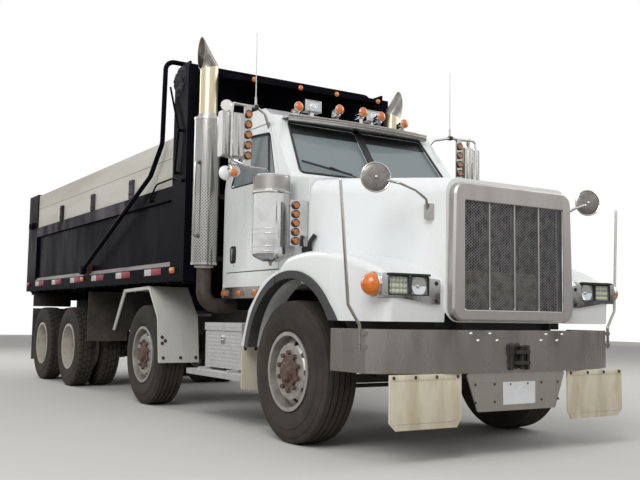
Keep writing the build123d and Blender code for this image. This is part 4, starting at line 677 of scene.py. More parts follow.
# Pushes the gaps between the tread blocks inward, in step with the spin
def cut_blocks(piece, radius, steps):
    def in_gap(centre, normal):
        turn = math.atan2(centre.z, centre.x) / math.tau * steps
        column = math.floor(turn) % 4
        reach = math.hypot(centre.x, centre.z)
        outer = abs(centre.y) > 0.061 and reach > radius - 0.024
        middle = 0.006 < abs(centre.y) < 0.050 and reach > radius - 0.003
        outward = normal.x * centre.x + normal.z * centre.z > 0.3 * reach
        return outward and ((outer and column == 0) or (middle and column == (2 if centre.y > 0 else 3)))

    choose(piece)
    select_faces(piece, in_gap)
    with editing("FACE"):
        bpy.ops.mesh.extrude_region_move(TRANSFORM_OT_translate={"value": (0, 0, 0)})
        bpy.ops.transform.shrink_fatten(value=-0.013)


# Tyres at each station on both sides, two abreast where they are twin
def fit_tyres():
    for name, axle_x, radius, face_y, rim_width, twin in wheel_stations:
        half, steps = drive_tyre if twin else single_tyre
        profile = block_profile(radius, half) if twin else ribbed_profile(radius, half)
        one = tyre(profile, steps)
        if twin:
            cut_blocks(one, radius, steps)
        one.location = (axle_x, face_y - rim_width / 2, radius)
        fix_place(one)
        if twin:
            one = repeated(one, [(0, -dual_spacing, 0)])
        for side, piece in (("right", other_side(one)), ("left", one)):
            node = "tyre_" + name + "_" + side
            settle(piece, node + "_tread", "tyre_rubber", node, 35)
            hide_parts(node)


# Rims: the node's own form, with the hub and nuts rusted
hub_reach = 0.168


def dress_rims():
    for name, axle_x, radius, face_y, rim_width, twin in wheel_stations:
        for side in ("left", "right"):
            piece = dress("rim_" + name + "_" + side)
            reach = [math.hypot(vertex.co.x - axle_x, vertex.co.z - radius)
                     for vertex in piece.data.vertices]
            furthest = {tuple(polygon.center): max(reach[i] for i in polygon.vertices)
                        for polygon in piece.data.polygons}
            paint_faces(piece, "rusty_hub", lambda centre, normal: furthest[tuple(centre)] < hub_reach)


# Grille: crossed strands of expanded metal in the opening, cut off at its edges
mesh_pitch = 0.030
mesh_slope = math.atan2(0.022, 0.030)
strand_mm = (3.2, 4.0)


def weave_grille():
    low, high = (Vector(corner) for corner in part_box("grille_mesh"))
    x = high.x + 0.022
    middle = (low + high) / 2
    reach = (high.z - low.z) / math.sin(mesh_slope) / 2 + 0.02
    count = int((high.y - low.y + (high.z - low.z) / math.tan(mesh_slope)) / mesh_pitch) + 2
    lays = []
    for lay, turn in enumerate((mesh_slope, -mesh_slope)):
        depth = strand_mm[0] / 2000
        offset = (lay - 0.5) * depth
        width = strand_mm[1] / 2000
        strand = slab((x - depth + offset, -reach, -width), (x + depth + offset, reach, width), 0)
        strand.rotation_euler = (turn, 0, 0)
        strand.location = (0, middle.y - count / 2 * mesh_pitch, middle.z)
        fix_place(strand)
        lays.append(repeated(strand, [(0, step * mesh_pitch, 0) for step in range(1, count + 1)]))
    piece = joined(lays)
    cuts = (((0, low.y, 0), (0, -1, 0)), ((0, high.y, 0), leftward), ((0, 0, low.z), (0, 0, -1)),
            ((0, 0, high.z), upward))
    choose(piece)
    with editing():
        for place, normal in cuts:
            bpy.ops.mesh.select_all(action="SELECT")
            bpy.ops.mesh.bisect(plane_co=place, plane_no=normal, clear_outer=True, use_fill=True)
    settle(piece, "grille_strands", "mesh_steel", "grille_mesh", 0)
    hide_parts("grille_mesh")


# Copies of a piece at equal steps one way, and those rows again at equal steps another way
def in_rows(piece, *rows):
    for count, step in rows:
        row = piece.modifiers.new("row", "ARRAY")
        row.count = count
        row.use_relative_offset = False
        row.use_constant_offset = True
        row.constant_offset_displace = step
    apply_modifiers(piece)
    return piece


# Lays a piece that was made in the XY plane on a face, by the face's across and up directions
def lay_on(piece, centre, across, up):
    across, up = Vector(across).normalized(), Vector(up).normalized()
    piece.matrix_world = matrix_of((across, up, across.cross(up)), centre)
    return fix_place(piece)


# A round bar round an opening, closed on itself, its corners rounded
def closed_bar(points, radius_mm, bend_mm=30, fineness=2):
    piece = drawn_line(list(points) + [points[0]])
    with editing(whole=True):
        bpy.ops.mesh.remove_doubles(threshold=0.0001)
        if bend_mm:
            bpy.ops.mesh.bevel(offset=bend_mm / 1000, segments=5, affect="VERTICES")
    return thickened(piece, radius_mm, fineness)


# A domed lens or cap: its base centre, the way it faces, its radius and its height
def dome(centre, axis, radius, height, steps=24, rings=5):
    turns = [math.pi / 2 * step / rings for step in range(rings + 1)]
    arc = [(height * math.sin(turn), radius * math.cos(turn)) for turn in turns]
    return turned([(0, 0)] + arc, centre, axis, steps)


# A ring of a rounded section, such as a lamp's bezel or a band
def ring(centre, axis, inner, outer, height, steps=32):
    middle = (inner + outer) / 2
    shoulder = height * 0.7
    profile = [(0, inner), (0, outer), (shoulder, outer), (height, middle), (shoulder, inner), (0, inner)]
    return turned(profile, centre, axis, steps)


# Selects the edges whose two ends pass a test
def select_edges(piece, wanted):
    points = [vertex.co.copy() for vertex in piece.data.vertices]
    for group in (piece.data.vertices, piece.data.polygons):
        for item in group:
            item.select = False
    for edge in piece.data.edges:
        edge.select = wanted(points[edge.vertices[0]], points[edge.vertices[1]])


# Gives an open sheet its thickness: inward at -1, to both sides at 0
def thicken_sheet(piece, thickness, offset):
    sheet = piece.modifiers.new("sheet", "SOLIDIFY")
    sheet.thickness = thickness
    sheet.offset = offset
    apply_modifiers(piece)


# A tube of perforated sheet: a lattice of diamonds, each with its middle cut out
def perforated_tube(centre, radius, low, high, pitch, web, wall):
    rows = round((high - low) / pitch)
    step = (high - low) / rows
    columns = round(math.tau * radius / pitch)
    piece = turned([(low + row * step, radius) for row in range(rows + 1)], (centre[0], centre[1], 0),
                   upward, columns)

    def on_lattice(z):
        return abs((z - low) / step - round((z - low) / step)) < 0.25

    def inner_line(start, end):
        at_rim = max(start.z, end.z) < low + 0.01 * step or min(start.z, end.z) > high - 0.01 * step
        return on_lattice(start.z) and on_lattice(end.z) and not at_rim

    with editing(whole=True):
        bpy.ops.mesh.poke()
        bpy.ops.mesh.select_mode(type="EDGE")
    select_edges(piece, inner_line)
    with editing():
        bpy.ops.mesh.dissolve_edges(use_verts=False)
        bpy.ops.mesh.select_mode(type="FACE")
    for polygon in piece.data.polygons:
        polygon.select = len(polygon.vertices) == 4
    with editing():
        bpy.ops.mesh.inset(thickness=web / 2, use_individual=True)
        bpy.ops.mesh.delete(type="FACE")
    thicken_sheet(piece, wall, -1)
    return piece


# Splits a dressed piece's faces along planes, so that each band can take its own finish
def divide(piece, *planes):
    choose(piece)
    with editing():
        for place, normal in planes:
            bpy.ops.mesh.select_all(action="SELECT")
            bpy.ops.mesh.bisect(plane_co=place, plane_no=normal)


# Raised ribs of tread plate on a flat face: two crossed sets, half a step apart
tread_pitch = 0.034
tread_rib = (0.022, 0.0055, 0.0014)


def tread_ribs(centre, across, up, size):
    fields = []
    counts = [int(length / tread_pitch) for length in size]
    for turn, shift in ((math.pi / 4, 0), (-math.pi / 4, tread_pitch / 2)):
        rib = cube((0, 0, tread_rib[2] / 2), tread_rib)
        select_faces(rib, lambda centre, normal: normal.z > 0.9)
        with editing("FACE"):
            bpy.ops.transform.resize(value=(0.7, 0.4, 1))
        rib.rotation_euler = (0, 0, turn)
        rib.location = (*[(1 - count) * tread_pitch / 2 + shift for count in counts], 0)
        fix_place(rib)
        rows = [max(count - (1 if shift else 0), 1) for count in counts]
        fields.append(in_rows(rib, (rows[0], (tread_pitch, 0, 0)), (rows[1], (0, tread_pitch, 0))))
    return lay_on(joined(fields), centre, across, up)


# The four corners of an upright rectangle that faces forward
def upright_corners(x, ys, zs):
    return [(x, ys[0], zs[0]), (x, ys[1], zs[0]), (x, ys[1], zs[1]), (x, ys[0], zs[1])]


# Bumper: carriage bolts, the valance's small bolts, the bare plate, the hitch's pin and the poles' knobs
bumper_face_x = 4.727
valance_face_x = 4.716
carriage_bolts = [(-0.451, 0.854), (-0.274, 0.854), (-0.386, 0.806), (-0.208, 0.806),
                  (0.280, 0.850), (0.448, 0.850), (0.228, 0.805), (0.394, 0.805)]
valance_bolts = [(valance_face_x, y, z) for z in (0.505, 0.382) for y in (-0.40, -0.22, 0.24, 0.41)]
valance_fold_z = (0.5215, 0.5245)
plate_low = (-0.141, 0.358)
plate_high = (0.174, 0.517)
plate_screw_ys = (-0.07, 0.10)
hitch_x = 4.757
hitch_bolt_places = [(bumper_face_x + 0.008, y, z) for y in (-0.079, 0.079) for z in (0.628, 0.748)]
pole_tip = (4.482, 1.383, 1.868)
pole_clamp_bolts = [(4.502, 1.232, z) for z in (0.752, 0.778, 0.842, 0.868)]


def finish_bumper():
    node = "front_bumper"
    bumper = dressed[node]
    paint_faces(bumper, "hitch_iron", lambda centre, normal: centre.x > bumper_face_x + 0.0005
                and abs(centre.y) < 0.11 and 0.6 < centre.z < 0.78)
    paint_faces(bumper, "satin_steel", lambda centre, normal: centre.z < 0.575 and abs(centre.y) < 0.5)
    first_y, first_z = carriage_bolts[0]
    head = dome((bumper_face_x, first_y, first_z), forward, 0.013, 0.007, 16, 4)
    heads = repeated(head, [(0, y - first_y, z - first_z) for y, z in carriage_bolts[1:]])
    settle(heads, "bumper_carriage_bolts", "chrome", node)
    settle(bolt_heads(valance_bolts, forward, 11), "valance_bolts", "chassis_black", node)
    seam = slab((valance_face_x - 0.001, -0.44, valance_fold_z[0]),
                (valance_face_x + 0.003, 0.44, valance_fold_z[1]), 0.6)
    settle(seam, "valance_fold", "satin_steel", node)
    blank = slab((valance_face_x, *plate_low), (valance_face_x + 0.003, *plate_high), 0.8)
    select_faces(blank, lambda centre, normal: normal.x > 0.99)
    with editing("FACE"):
        bpy.ops.mesh.inset(thickness=0.006, depth=-0.001)
    settle(blank, "number_plate_blank", "plate_white", node)
    corners = [(valance_face_x + 0.002, y, plate_high[1] - 0.016) for y in plate_screw_ys]
    settle(bolt_heads(corners, forward, 8), "number_plate_screws", "rusty_iron", node)
    pin = turned([(-0.085, 0), (-0.085, 0.013), (0.074, 0.014), (0.074, 0.026), (0.084, 0.024), (0.084, 0)],
                 (hitch_x, 0, 0.69), upward, 20)
    grip = bent_bar([(hitch_x, -0.02, 0.776), (hitch_x, -0.03, 0.79), (hitch_x + 0.004, -0.085, 0.775),
                     (hitch_x + 0.004, -0.085, 0.70)], 5, 12)
    lip = slab((bumper_face_x, -0.092, 0.600), (bumper_face_x + 0.022, -0.066, 0.776), 5)
    settle(joined([pin, grip, both_sides(lip)]), "hitch_pin", "hitch_iron", node)
    settle(bolt_heads(hitch_bolt_places, forward, 22), "hitch_bolts", "hitch_iron", node)
    settle(both_sides(dome(pole_tip, upward, 0.017, 0.014, 16, 4)), "pole_knobs", "chrome", node)
    settle(both_sides(bolt_heads(pole_clamp_bolts, leftward, 12)), "pole_clamp_bolts", "rusty_iron", node)


# Flaps: the strip that holds each front flap's top edge, its bolts, the crease near its foot, and the
# plate above each rear flap, which is parted at the bed's hinge so that its upper half tips with the bed
front_flap_x = (4.708, 4.712)
front_flap_bolt_ys = (0.555, 0.74, 0.92, 1.10)
rear_flap_bolt_ys = (0.66, 0.83, 1.0, 1.17)
rear_plate_x = (-4.345, -4.330)
rear_plate_y = 1.195
hinge_gap_z = (1.030, 1.060)


def finish_flaps():
    node = "flaps_and_rear_flares"
    flaps = dressed[node]
    paint_faces(flaps, "flare_rubber", lambda centre, normal: 2.78 < centre.x < 3.4)
    paint_faces(flaps, "flap_rubber", lambda centre, normal: centre.x < -1.6)
    paint_faces(flaps, "chassis_black", lambda centre, normal: centre.z > 0.64 and
                (-4.4 < centre.x < -4.3 or 2.66 < centre.x < 2.712))
    strip = slab((front_flap_x[0], 0.525, 0.548), (front_flap_x[1], 1.128, 0.583), 1)
    settle(both_sides(strip), "front_flap_strips", "flap_vinyl", node)
    bolts = bolt_heads([(front_flap_x[1], y, 0.566) for y in front_flap_bolt_ys], forward, 14)
    settle(both_sides(bolts), "front_flap_bolts", "chassis_black", node)
    crease = slab((front_flap_x[0] + 0.0005, 0.55, 0.268), (front_flap_x[1] - 0.0005, 1.10, 0.272), 0.8)
    settle(both_sides(crease), "front_flap_creases", "flap_vinyl", node)
    rear = bolt_heads([(-4.309, y, 0.875) for y in rear_flap_bolt_ys], forward, 18)
    behind = bolt_heads([(-4.331, y, 0.875) for y in rear_flap_bolt_ys], (-1, 0, 0), 18)
    middle = bolt_heads([(2.721, y, 0.68) for y in (0.96, 1.06, 1.16)], forward, 16)
    settle(both_sides(joined([rear, behind, middle])), "flap_bracket_bolts", "rusty_iron", node)
    hanger = slab((rear_plate_x[0], 0.60, 0.900), (rear_plate_x[1], rear_plate_y, hinge_gap_z[0]), 3)
    settle(both_sides(hanger), "rear_flap_hangers", "chassis_black", node)
    apron = slab((rear_plate_x[0], 0.62, hinge_gap_z[1]), (rear_plate_x[1], rear_plate_y, 1.262), 3)
    settle(both_sides(apron), "bed_tail_aprons", "chassis_black", "bed_body")


# Headlamps: rows of small lenses, a reflector with its bulb, frames, a black hood and bracket bolts
lamp_x = 4.639
lamp_back_x = 4.6175
led_y = (0.922, 1.092)
led_steps = (0.033, 0.039)
bulb_y = (0.758, 0.908)
lens_z = (1.112, 1.238)


def finish_headlamps():
    node = "headlamps"
    housing = dressed[node]
    paint_faces(housing, "black_trim_and_shade", lambda centre, normal: centre.z > lens_z[1] - 0.003
                and centre.x > lamp_x + 0.0005)
    paint_faces(housing, "black_trim_and_shade", lambda centre, normal: 4.616 < centre.x < lamp_x and
                abs(normal.x) < 0.5 and lens_z[0] - 0.002 < centre.z < lens_z[1] + 0.002)
    first = dome((lamp_back_x, led_y[0] + 0.019, lens_z[0] + 0.024), forward, 0.0155, 0.011, 12, 4)
    first = in_rows(first, (5, (0, led_steps[0], 0)), (3, (0, 0, led_steps[1])))
    settle(both_sides(first), "led_lenses", "led_yellow", node)
    back = slab((lamp_back_x - 0.001, led_y[0], lens_z[0]), (lamp_back_x + 0.001, led_y[1], lens_z[1]), 0.4)
    settle(both_sides(back), "led_plates", "led_grey", node)
    bowl_y, bowl_z = sum(bulb_y) / 2, sum(lens_z) / 2
    bowl = turned([(0.010, 0.060), (0.012, 0.064), (0.003, 0.066), (0.0005, 0.020), (0.001, 0.018),
                   (0.004, 0.045), (0.010, 0.060)], (lamp_back_x, bowl_y, bowl_z), forward, 40)
    bulb = dome((lamp_back_x + 0.0003, bowl_y, bowl_z), forward, 0.017, 0.012, 20, 5)
    side_bits = [slab((4.617, bulb_y[0] + 0.004, z), (4.622, bulb_y[1] - 0.004, z + 0.004), 0.6)
                 for z in (lens_z[0] + 0.004, lens_z[1] - 0.009)]
    settle(both_sides(joined([bowl, bulb] + side_bits)), "halogen_reflectors", "reflector", node)
    frames = [closed_bar(upright_corners(lamp_x + 0.001, ys, lens_z), 4.5, 8) for ys in (led_y, bulb_y)]
    settle(both_sides(joined(frames)), "lens_frames", "black_trim_and_shade", node)
    bolts = bolt_heads([(4.647, 0.692, z) for z in (1.195, 1.077)], forward, 17)
    settle(both_sides(bolts), "lamp_bracket_bolts", "chassis_black", node)
    base = ring((4.559, 1.150, 1.179), leftward, 0.078, 0.087, 0.020, 40)
    settle(both_sides(base), "turn_lamp_rings", "chrome", "turn_lamps")


# Lamp bars beside the air cleaners and on the mirrors: a bezel and a lens on each lamp
bar_lamps = 5
cowl_lamp_place = (1.030, 1.560)
cowl_lamp_step = 0.072
mirror_bar_y = 1.190
mirror_lamp_step = 0.090


def finish_lamp_bars():
    row = (bar_lamps, (0, 0, cowl_lamp_step))
    bezels = in_rows(ring((3.297, *cowl_lamp_place), forward, 0.0215, 0.0335, 0.022, 24), row)
    settle(both_sides(bezels), "cowl_lamp_bezels", "dark_bezel", "cowl_lamps")
    lenses = in_rows(dome((3.3145, *cowl_lamp_place), forward, 0.0225, 0.003, 20, 4), row)
    settle(both_sides(lenses), "cowl_lamp_domes", "aged_amber", "cowl_lamps")
    for side, sign in sides:
        node = "mirror_" + side
        bar_y = sign * mirror_bar_y
        paint_faces(dressed[node], "aged_amber", lambda centre, normal: centre.x > 2.7425
                    and abs(centre.y - bar_y) < 0.035 and 2.28 < centre.z < 2.72)
        bezels = in_rows(ring((2.741, bar_y, 2.320), forward, 0.0235, 0.0355, 0.021, 24),
                         (bar_lamps, (0, 0, mirror_lamp_step)))
        settle(bezels, node + "_lamp_bezels", "dark_bezel", node)


# Door mirrors: the glass, the ribs of the case, a round mirror and a lamp below, a lamp and a whip aerial
# above, and the loop that carries them
mirror_x = (2.670, 2.760)
mirror_y = (1.245, 1.440)
mirror_z = (2.290, 2.680)
mirror_middle_y = 1.3425
round_place = (2.690, 1.372, 2.158)
round_stem = [(2.706, 1.372, 2.158), (2.720, 1.36, 2.20), (2.716, mirror_middle_y, 2.232)]
low_lamp_place = (2.768, 1.330, 2.156)
low_lamp_stem = [(2.755, 1.330, 2.156), (2.730, 1.335, 2.20), (2.716, mirror_middle_y, 2.228)]
top_lamp_place = (2.690, 1.372, 2.738)
mirror_loop = [(2.712, 1.150, 2.752), (2.782, 1.364, 2.748), (2.782, 1.364, 2.262), (2.735, 1.200, 2.232)]
aerial_place = (2.700, 1.100, 2.755)
aerial_profile = [(0, 0), (0, 0.016), (0.03, 0.016), (0.035, 0.010), (0.095, 0.010), (0.10, 0.005),
                  (0.64, 0.0022), (0.66, 0.0045), (0.665, 0)]


def finish_mirrors():
    for side, sign in sides:
        node = "mirror_" + side
        low_y, high_y = sorted((sign * (mirror_y[0] + 0.010), sign * (mirror_y[1] - 0.010)))
        glass = slab((mirror_x[0] - 0.0005, low_y, mirror_z[0] + 0.012),
                     (mirror_x[0] + 0.004, high_y, mirror_z[1] - 0.012), 1.5)
        settle(glass, node + "_glass", "mirror_glass", node)
        middle_y = sign * mirror_middle_y
        ribs = slab((mirror_x[1] - 0.001, middle_y - 0.008, mirror_z[0] + 0.02),
                    (mirror_x[1] + 0.006, middle_y + 0.008, mirror_z[1] - 0.02), 2.5)
        settle(repeated(ribs, [(0, -0.060, 0), (0, 0.060, 0)]), node + "_case_ribs", "polished_steel", node)
        spot = turned([(0, 0), (0, 0.060), (0.006, 0.062), (0.020, 0.052), (0.030, 0.024), (0.032, 0)],
                      on_side(round_place, sign), forward, 32)
        settle(spot, node + "_round", "white_enamel", node)
        stem = bent_bar([on_side(place, sign) for place in round_stem], 7, 10)
        low_lamp = Vector(on_side(low_lamp_place, sign))
        lamp_back = turned([(-0.028, 0), (-0.026, 0.020), (-0.012, 0.035), (0.006, 0.0375), (0.010, 0.036),
                            (0.010, 0)], low_lamp, forward, 28)
        lamp_stem = bent_bar([on_side(place, sign) for place in low_lamp_stem], 6, 10)
        settle(joined([stem, lamp_back, lamp_stem]), node + "_lamp_case", "chrome", node)
        lens = dome(low_lamp + Vector((0.009, 0, 0)), forward, 0.035, 0.014, 28, 5)
        settle(lens, node + "_lamp_lens", "amber_lens", node)
        top = turned([(-0.03, 0), (-0.03, 0.022), (-0.008, 0.050), (0.012, 0.052), (0.018, 0.048),
                      (0.018, 0)], on_side(top_lamp_place, sign), (0.6, sign * 0.3, 0), 28)
        settle(top, node + "_top_lamp", "satin_steel", node)
        loop = bent_bar([on_side(place, sign) for place in mirror_loop], 11, 36)
        settle(loop, node + "_loop", "chrome", node)
        aerial = turned(aerial_profile, on_side(aerial_place, sign), upward, 12)
        settle(aerial, node + "_aerial", "satin_steel", node)
        aerial_y = sign * aerial_place[1]
        clamp = slab((2.682, aerial_y - 0.02, 2.742), (2.730, aerial_y + 0.02, 2.778), 4)
        settle(clamp, node + "_aerial_clamp", "chassis_black", node)


# Roof: lenses, rims and feet of the bullet lamps; frames, bowls and glass of the box lamps
bullet_places = [(2.740, 0.0), (2.700, 0.237), (2.700, -0.237), (2.580, 0.603), (2.580, -0.603)]
bullet_z = 2.862
bullet_foot_z = (2.806, 2.826)
box_lamp_face_x = 2.435
box_lamp_ys = (-0.35, 0.35)
box_lamp_z = 2.935


def finish_roof_lamps():
    node = "roof_lamps"
    lenses, rims, feet = [], [], []
    for x, y in bullet_places:
        lenses.append(dome((x + 0.0195, y, bullet_z), forward, 0.042, 0.022, 28, 5))
        rims.append(ring((x + 0.012, y, bullet_z), forward, 0.040, 0.046, 0.012, 28))
        feet.append(slab((x - 0.088, y - 0.026, bullet_foot_z[0]),
                         (x - 0.008, y + 0.026, bullet_foot_z[1]), 5))
    settle(joined(lenses), "bullet_lamp_lenses", "amber_lens", node)
    settle(joined(rims), "bullet_lamp_rims", "chrome", node)
    settle(joined(feet), "bullet_lamp_feet", "chrome", node)
    frames, bowls, panes = [], [], []
    x = box_lamp_face_x
    for y in box_lamp_ys:
        corners = upright_corners(x, (y - 0.084, y + 0.084), (box_lamp_z - 0.049, box_lamp_z + 0.049))
        frames.append(closed_bar(corners, 6, 12))
        bowls.append(dome((x - 0.0005, y, box_lamp_z), forward, 0.030, 0.006, 24, 4))
        bowls.append(ring((x - 0.0005, y, box_lamp_z), forward, 0.034, 0.043, 0.005, 32))
        panes.append(slab((x + 0.001, y - 0.080, box_lamp_z - 0.045),
                          (x + 0.007, y + 0.080, box_lamp_z + 0.045), 2))
    settle(joined(frames), "box_lamp_frames", "satin_steel", node)
    settle(joined(bowls), "box_lamp_bowls", "reflector", node)
    settle(joined(panes), "box_lamp_panes", "lamp_glass", node)


# Windscreen: rubber round each pane, wipers, the post, dark bands of painted shade where the visor shadows
# the top of the panes, and the rear window's rubber.
# The screen leans back from the cowl, and places on it are taken across, up and out from its foot.
screen_foot = Vector((3.060, 0, 2.125))
screen_rise = math.hypot(0.450, 0.615)
screen_up = Vector((-0.450, 0, 0.615)) / screen_rise
screen_out = Vector((0.615, 0, 0.450)) / screen_rise
pane_corners = [(0.028, 0.062), (0.828, 0.062), (0.745, screen_rise - 0.058), (0.028, screen_rise - 0.058)]
wiper_pivot = (-0.235, 0.018)
wiper_reach = (-0.30, -0.78)
rear_window = [(-0.64, 2.20), (0.64, 2.20), (0.60, 2.56), (-0.60, 2.56)]
rear_window_x = 1.812


# A place across and up the windscreen from its foot, and out from its face
def on_screen(across, up, out=0.0):
    return screen_foot + Vector((0, across, 0)) + screen_up * up + screen_out * out


def finish_windscreen():
    def fit(piece, name):
        settle(piece, name, "black_trim_and_shade", "cab_shell")

    rubber = closed_bar([on_screen(across, up, 0.002) for across, up in pane_corners], 11, 40)
    fit(both_sides(rubber), "windscreen_rubber")
    arm = bent_bar([on_screen(*wiper_pivot, 0.012), on_screen(-0.245, 0.030, 0.034),
                    on_screen(-0.52, 0.135, 0.034)], 6, 10)
    start, end = wiper_reach
    blade = bent_bar([on_screen(start, 0.088, 0.020), on_screen(end, 0.190, 0.020)], 6, 0)
    edge = bent_bar([on_screen(start, 0.084, 0.010), on_screen(end, 0.186, 0.010)], 3.5, 0)
    pivot = dome(on_screen(*wiper_pivot), screen_out, 0.020, 0.024, 16, 4)
    fit(both_sides(joined([arm, blade, edge, pivot])), "wipers")
    post = slab((-0.030, 0.040, 0.0), (0.030, screen_rise - 0.040, 0.008), 2)
    fit(lay_on(post, on_screen(0, 0), leftward, screen_up), "windscreen_post")
    # Painted shade: a dark band just behind the top of each pane, where the visor shadows the screen
    band = slab((0.030, screen_rise - 0.185, -0.018), (0.775, screen_rise - 0.060, -0.015), 0.5)
    fit(both_sides(lay_on(band, on_screen(0, 0), leftward, screen_up)), "windscreen_visor_shadow_bands")
    fit(closed_bar([(rear_window_x, y, z) for y, z in rear_window], 10, 60), "rear_window_rubber")


# Visor: a deep rolled lip along its bowed front edge
visor_front = (2.795, 0.070, 0.780)
visor_steps = 16
lip_top_z = 2.746
lip_folds = ((0.046, -0.004), (0.012, -0.010), (0.004, -0.020))


def finish_visor():
    reach, bow, half = visor_front
    ys = [half * (2 * step / visor_steps - 1) for step in range(visor_steps + 1)]
    lip = drawn_line([(reach - bow * (y / half) ** 2, y, lip_top_z) for y in ys])
    with editing("EDGE", whole=True):
        for drop, back in lip_folds:
            bpy.ops.mesh.extrude_region_move(TRANSFORM_OT_translate={"value": (back, 0, -drop)})
    thicken_sheet(lip, 0.004, 0)
    settle(lip, "visor_lip", "polished_steel", "sun_visor")


# Doors: rubber round the window, its upright divider, the handle in its pocket, and the lock
door_side_y = 0.950
window_corners = [(2.798, 2.150), (2.610, 2.580), (2.115, 2.618), (1.944, 2.150)]
divider_ends = [(2.655, 2.160), (2.560, 2.585)]
door_lean = 0.078 / 0.730
door_waist_z = 2.140
pocket_x = (1.972, 2.080)
pocket_z = (1.445, 1.595)


# How far out the door's skin stands at a height: upright to the waist, leaning in above it
def door_skin(z):
    return door_side_y - max(z - door_waist_z, 0) * door_lean


def finish_doors():
    for side, sign in sides:
        node = "door_" + side
        rubber = closed_bar([(x, sign * (door_skin(z) - 0.004), z) for x, z in window_corners], 8, 36)
        divider = bent_bar([(x, sign * (door_skin(z) - 0.014), z) for x, z in divider_ends], 8, 0)
        settle(joined([rubber, divider]), node + "_window_rubber", "black_trim_and_shade", node)
        y = sign * door_side_y
        corners = [(pocket_x[0], pocket_z[0]), (pocket_x[1], pocket_z[0]),
                   (pocket_x[1], pocket_z[1]), (pocket_x[0], pocket_z[1])]
        pocket = closed_bar([(x, y, z) for x, z in corners], 6, 28)
        plate = slab((pocket_x[0] + 0.002, y - 0.002, pocket_z[0] + 0.002),
                     (pocket_x[1] - 0.002, y + 0.002, pocket_z[1] - 0.002), 1.5)
        settle(joined([pocket, plate]), node + "_handle_pocket", "black_trim_and_shade", node)
        paddle = slab((1.996, min(y, y + sign * 0.012), 1.462), (2.020, max(y, y + sign * 0.012), 1.580), 4)
        settle(paddle, node + "_handle_paddle", "chrome", node)
        settle(dome((2.050, y, 1.420), (0, sign, 0), 0.011, 0.004, 16, 3), node + "_lock", "chrome", node)


# Air cleaners: rolled beads, the perforated band below the lid, and clamps with their screws
cleaner_place = (3.065, 1.125)
cleaner_radius = 0.151
bead_zs = (1.659, 1.620, 1.516, 1.478)
bead_profile = [(-0.006, -0.002), (-0.004, 0.004), (0.004, 0.004), (0.006, -0.002)]
screen_z = (1.984, 2.090)
clamp_zs = (1.964, 1.440)


def finish_cleaners():
    node = "air_cleaners"
    x, y = cleaner_place
    profile = [(along, cleaner_radius + rise) for along, rise in bead_profile]
    beads = [turned(profile, (x, y, z), upward, 56) for z in bead_zs]
    settle(both_sides(joined(beads)), "cleaner_beads", "chrome", node)
    profile = [(screen_z[0], 0.1465), (screen_z[0], 0.150), (screen_z[1], 0.150), (screen_z[1], 0.1465)]
    settle(both_sides(turned(profile, (x, y, 0), upward, 56)), "cleaner_screens", "black_trim_and_shade", node)
    band = perforated_tube((x, y), 0.1525, screen_z[0], screen_z[1], 0.0135, 0.0052, 0.0012)
    settle(both_sides(band), "cleaner_perforated_bands", "satin_steel", node, 0)
    lugs = []
    for z in clamp_zs:
        lugs.append(slab((x + 0.150, y - 0.026, z - 0.012), (x + 0.180, y + 0.026, z + 0.012), 3))
        lugs.append(bolt_heads([(x + 0.166, y + 0.026, z)], leftward, 12))
    drain = turned([(-0.034, 0), (-0.034, 0.012), (-0.010, 0.014), (0.004, 0.030), (0.004, 0)],
                   (x, y, 1.402), upward, 16)
    settle(both_sides(joined(lugs + [drain])), "cleaner_clamps", "satin_steel", node)


# Stacks: perforated shields with rolled rims and grab rails, stained pipes and dull elbows
stack_place = (1.715, 1.100)
shield_radius = 0.128
shield_z = (1.430, 2.850)
elbow_top_z = 1.40
grab_rail_z = (1.700, 2.400)
rim_profile = [(-0.012, -0.004), (-0.012, 0.0035), (0.012, 0.0035), (0.012, -0.004), (-0.012, -0.004)]
pipe_band_zs = (1.405, 2.858)


def finish_stacks():
    pipes = dressed["exhaust_stacks"]
    divide(pipes, ((0, 0, elbow_top_z), upward))
    paint_faces(pipes, "dull_pipe", lambda centre, normal: centre.z < elbow_top_z)
    paint_faces(pipes, "chassis_black", lambda centre, normal: abs(centre.y) < 1.0 and centre.z > 1.44)
    paint_faces(pipes, "tip_steel", lambda centre, normal: centre.z > (3.175 if centre.y > 0 else 3.35))
    node = "stack_shields"
    x, y = stack_place
    sheet = perforated_tube((x, y), shield_radius, shield_z[0], shield_z[1], 0.030, 0.0095, 0.0025)
    low, high = shield_z[0] + 0.02, shield_z[1] - 0.02
    # Painted shade: a black liner inside each shield for the dark inside of the tube, seen through the holes
    liner = turned([(low, 0.117), (low, 0.119), (high, 0.119), (high, 0.117), (low, 0.117)],
                   (x, y, 0), upward, 40)
    settle(both_sides(liner), "shield_shadow_liners", "black_trim_and_shade", node)
    profile = [(along, shield_radius + rise) for along, rise in rim_profile]
    rims = [turned(profile, (x, y, z), upward, 48) for z in (shield_z[0] + 0.013, shield_z[1] - 0.013)]
    low, high = grab_rail_z
    grip = bent_bar([(x + 0.070, y + 0.100, high), (x + 0.100, y + 0.165, high),
                     (x + 0.100, y + 0.165, low), (x + 0.070, y + 0.100, low)], 12, 30, 3)
    shields = both_sides(joined([sheet] + rims + [grip]))
    settle(shields, "shields_perforated", "polished_steel", node, 30)
    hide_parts("stack_shields")
    feet = bolt_heads([(x + 0.076, y + 0.118, z) for z in grab_rail_z], (0.5, 0.86, 0), 20)
    settle(both_sides(feet), "grab_rail_feet", "chassis_black", node)
    bands = [ring((x, y, z), upward, 0.087, 0.0945, 0.030, 40) for z in pipe_band_zs]
    settle(both_sides(joined(bands)), "pipe_bands", "satin_steel", "exhaust_stacks")


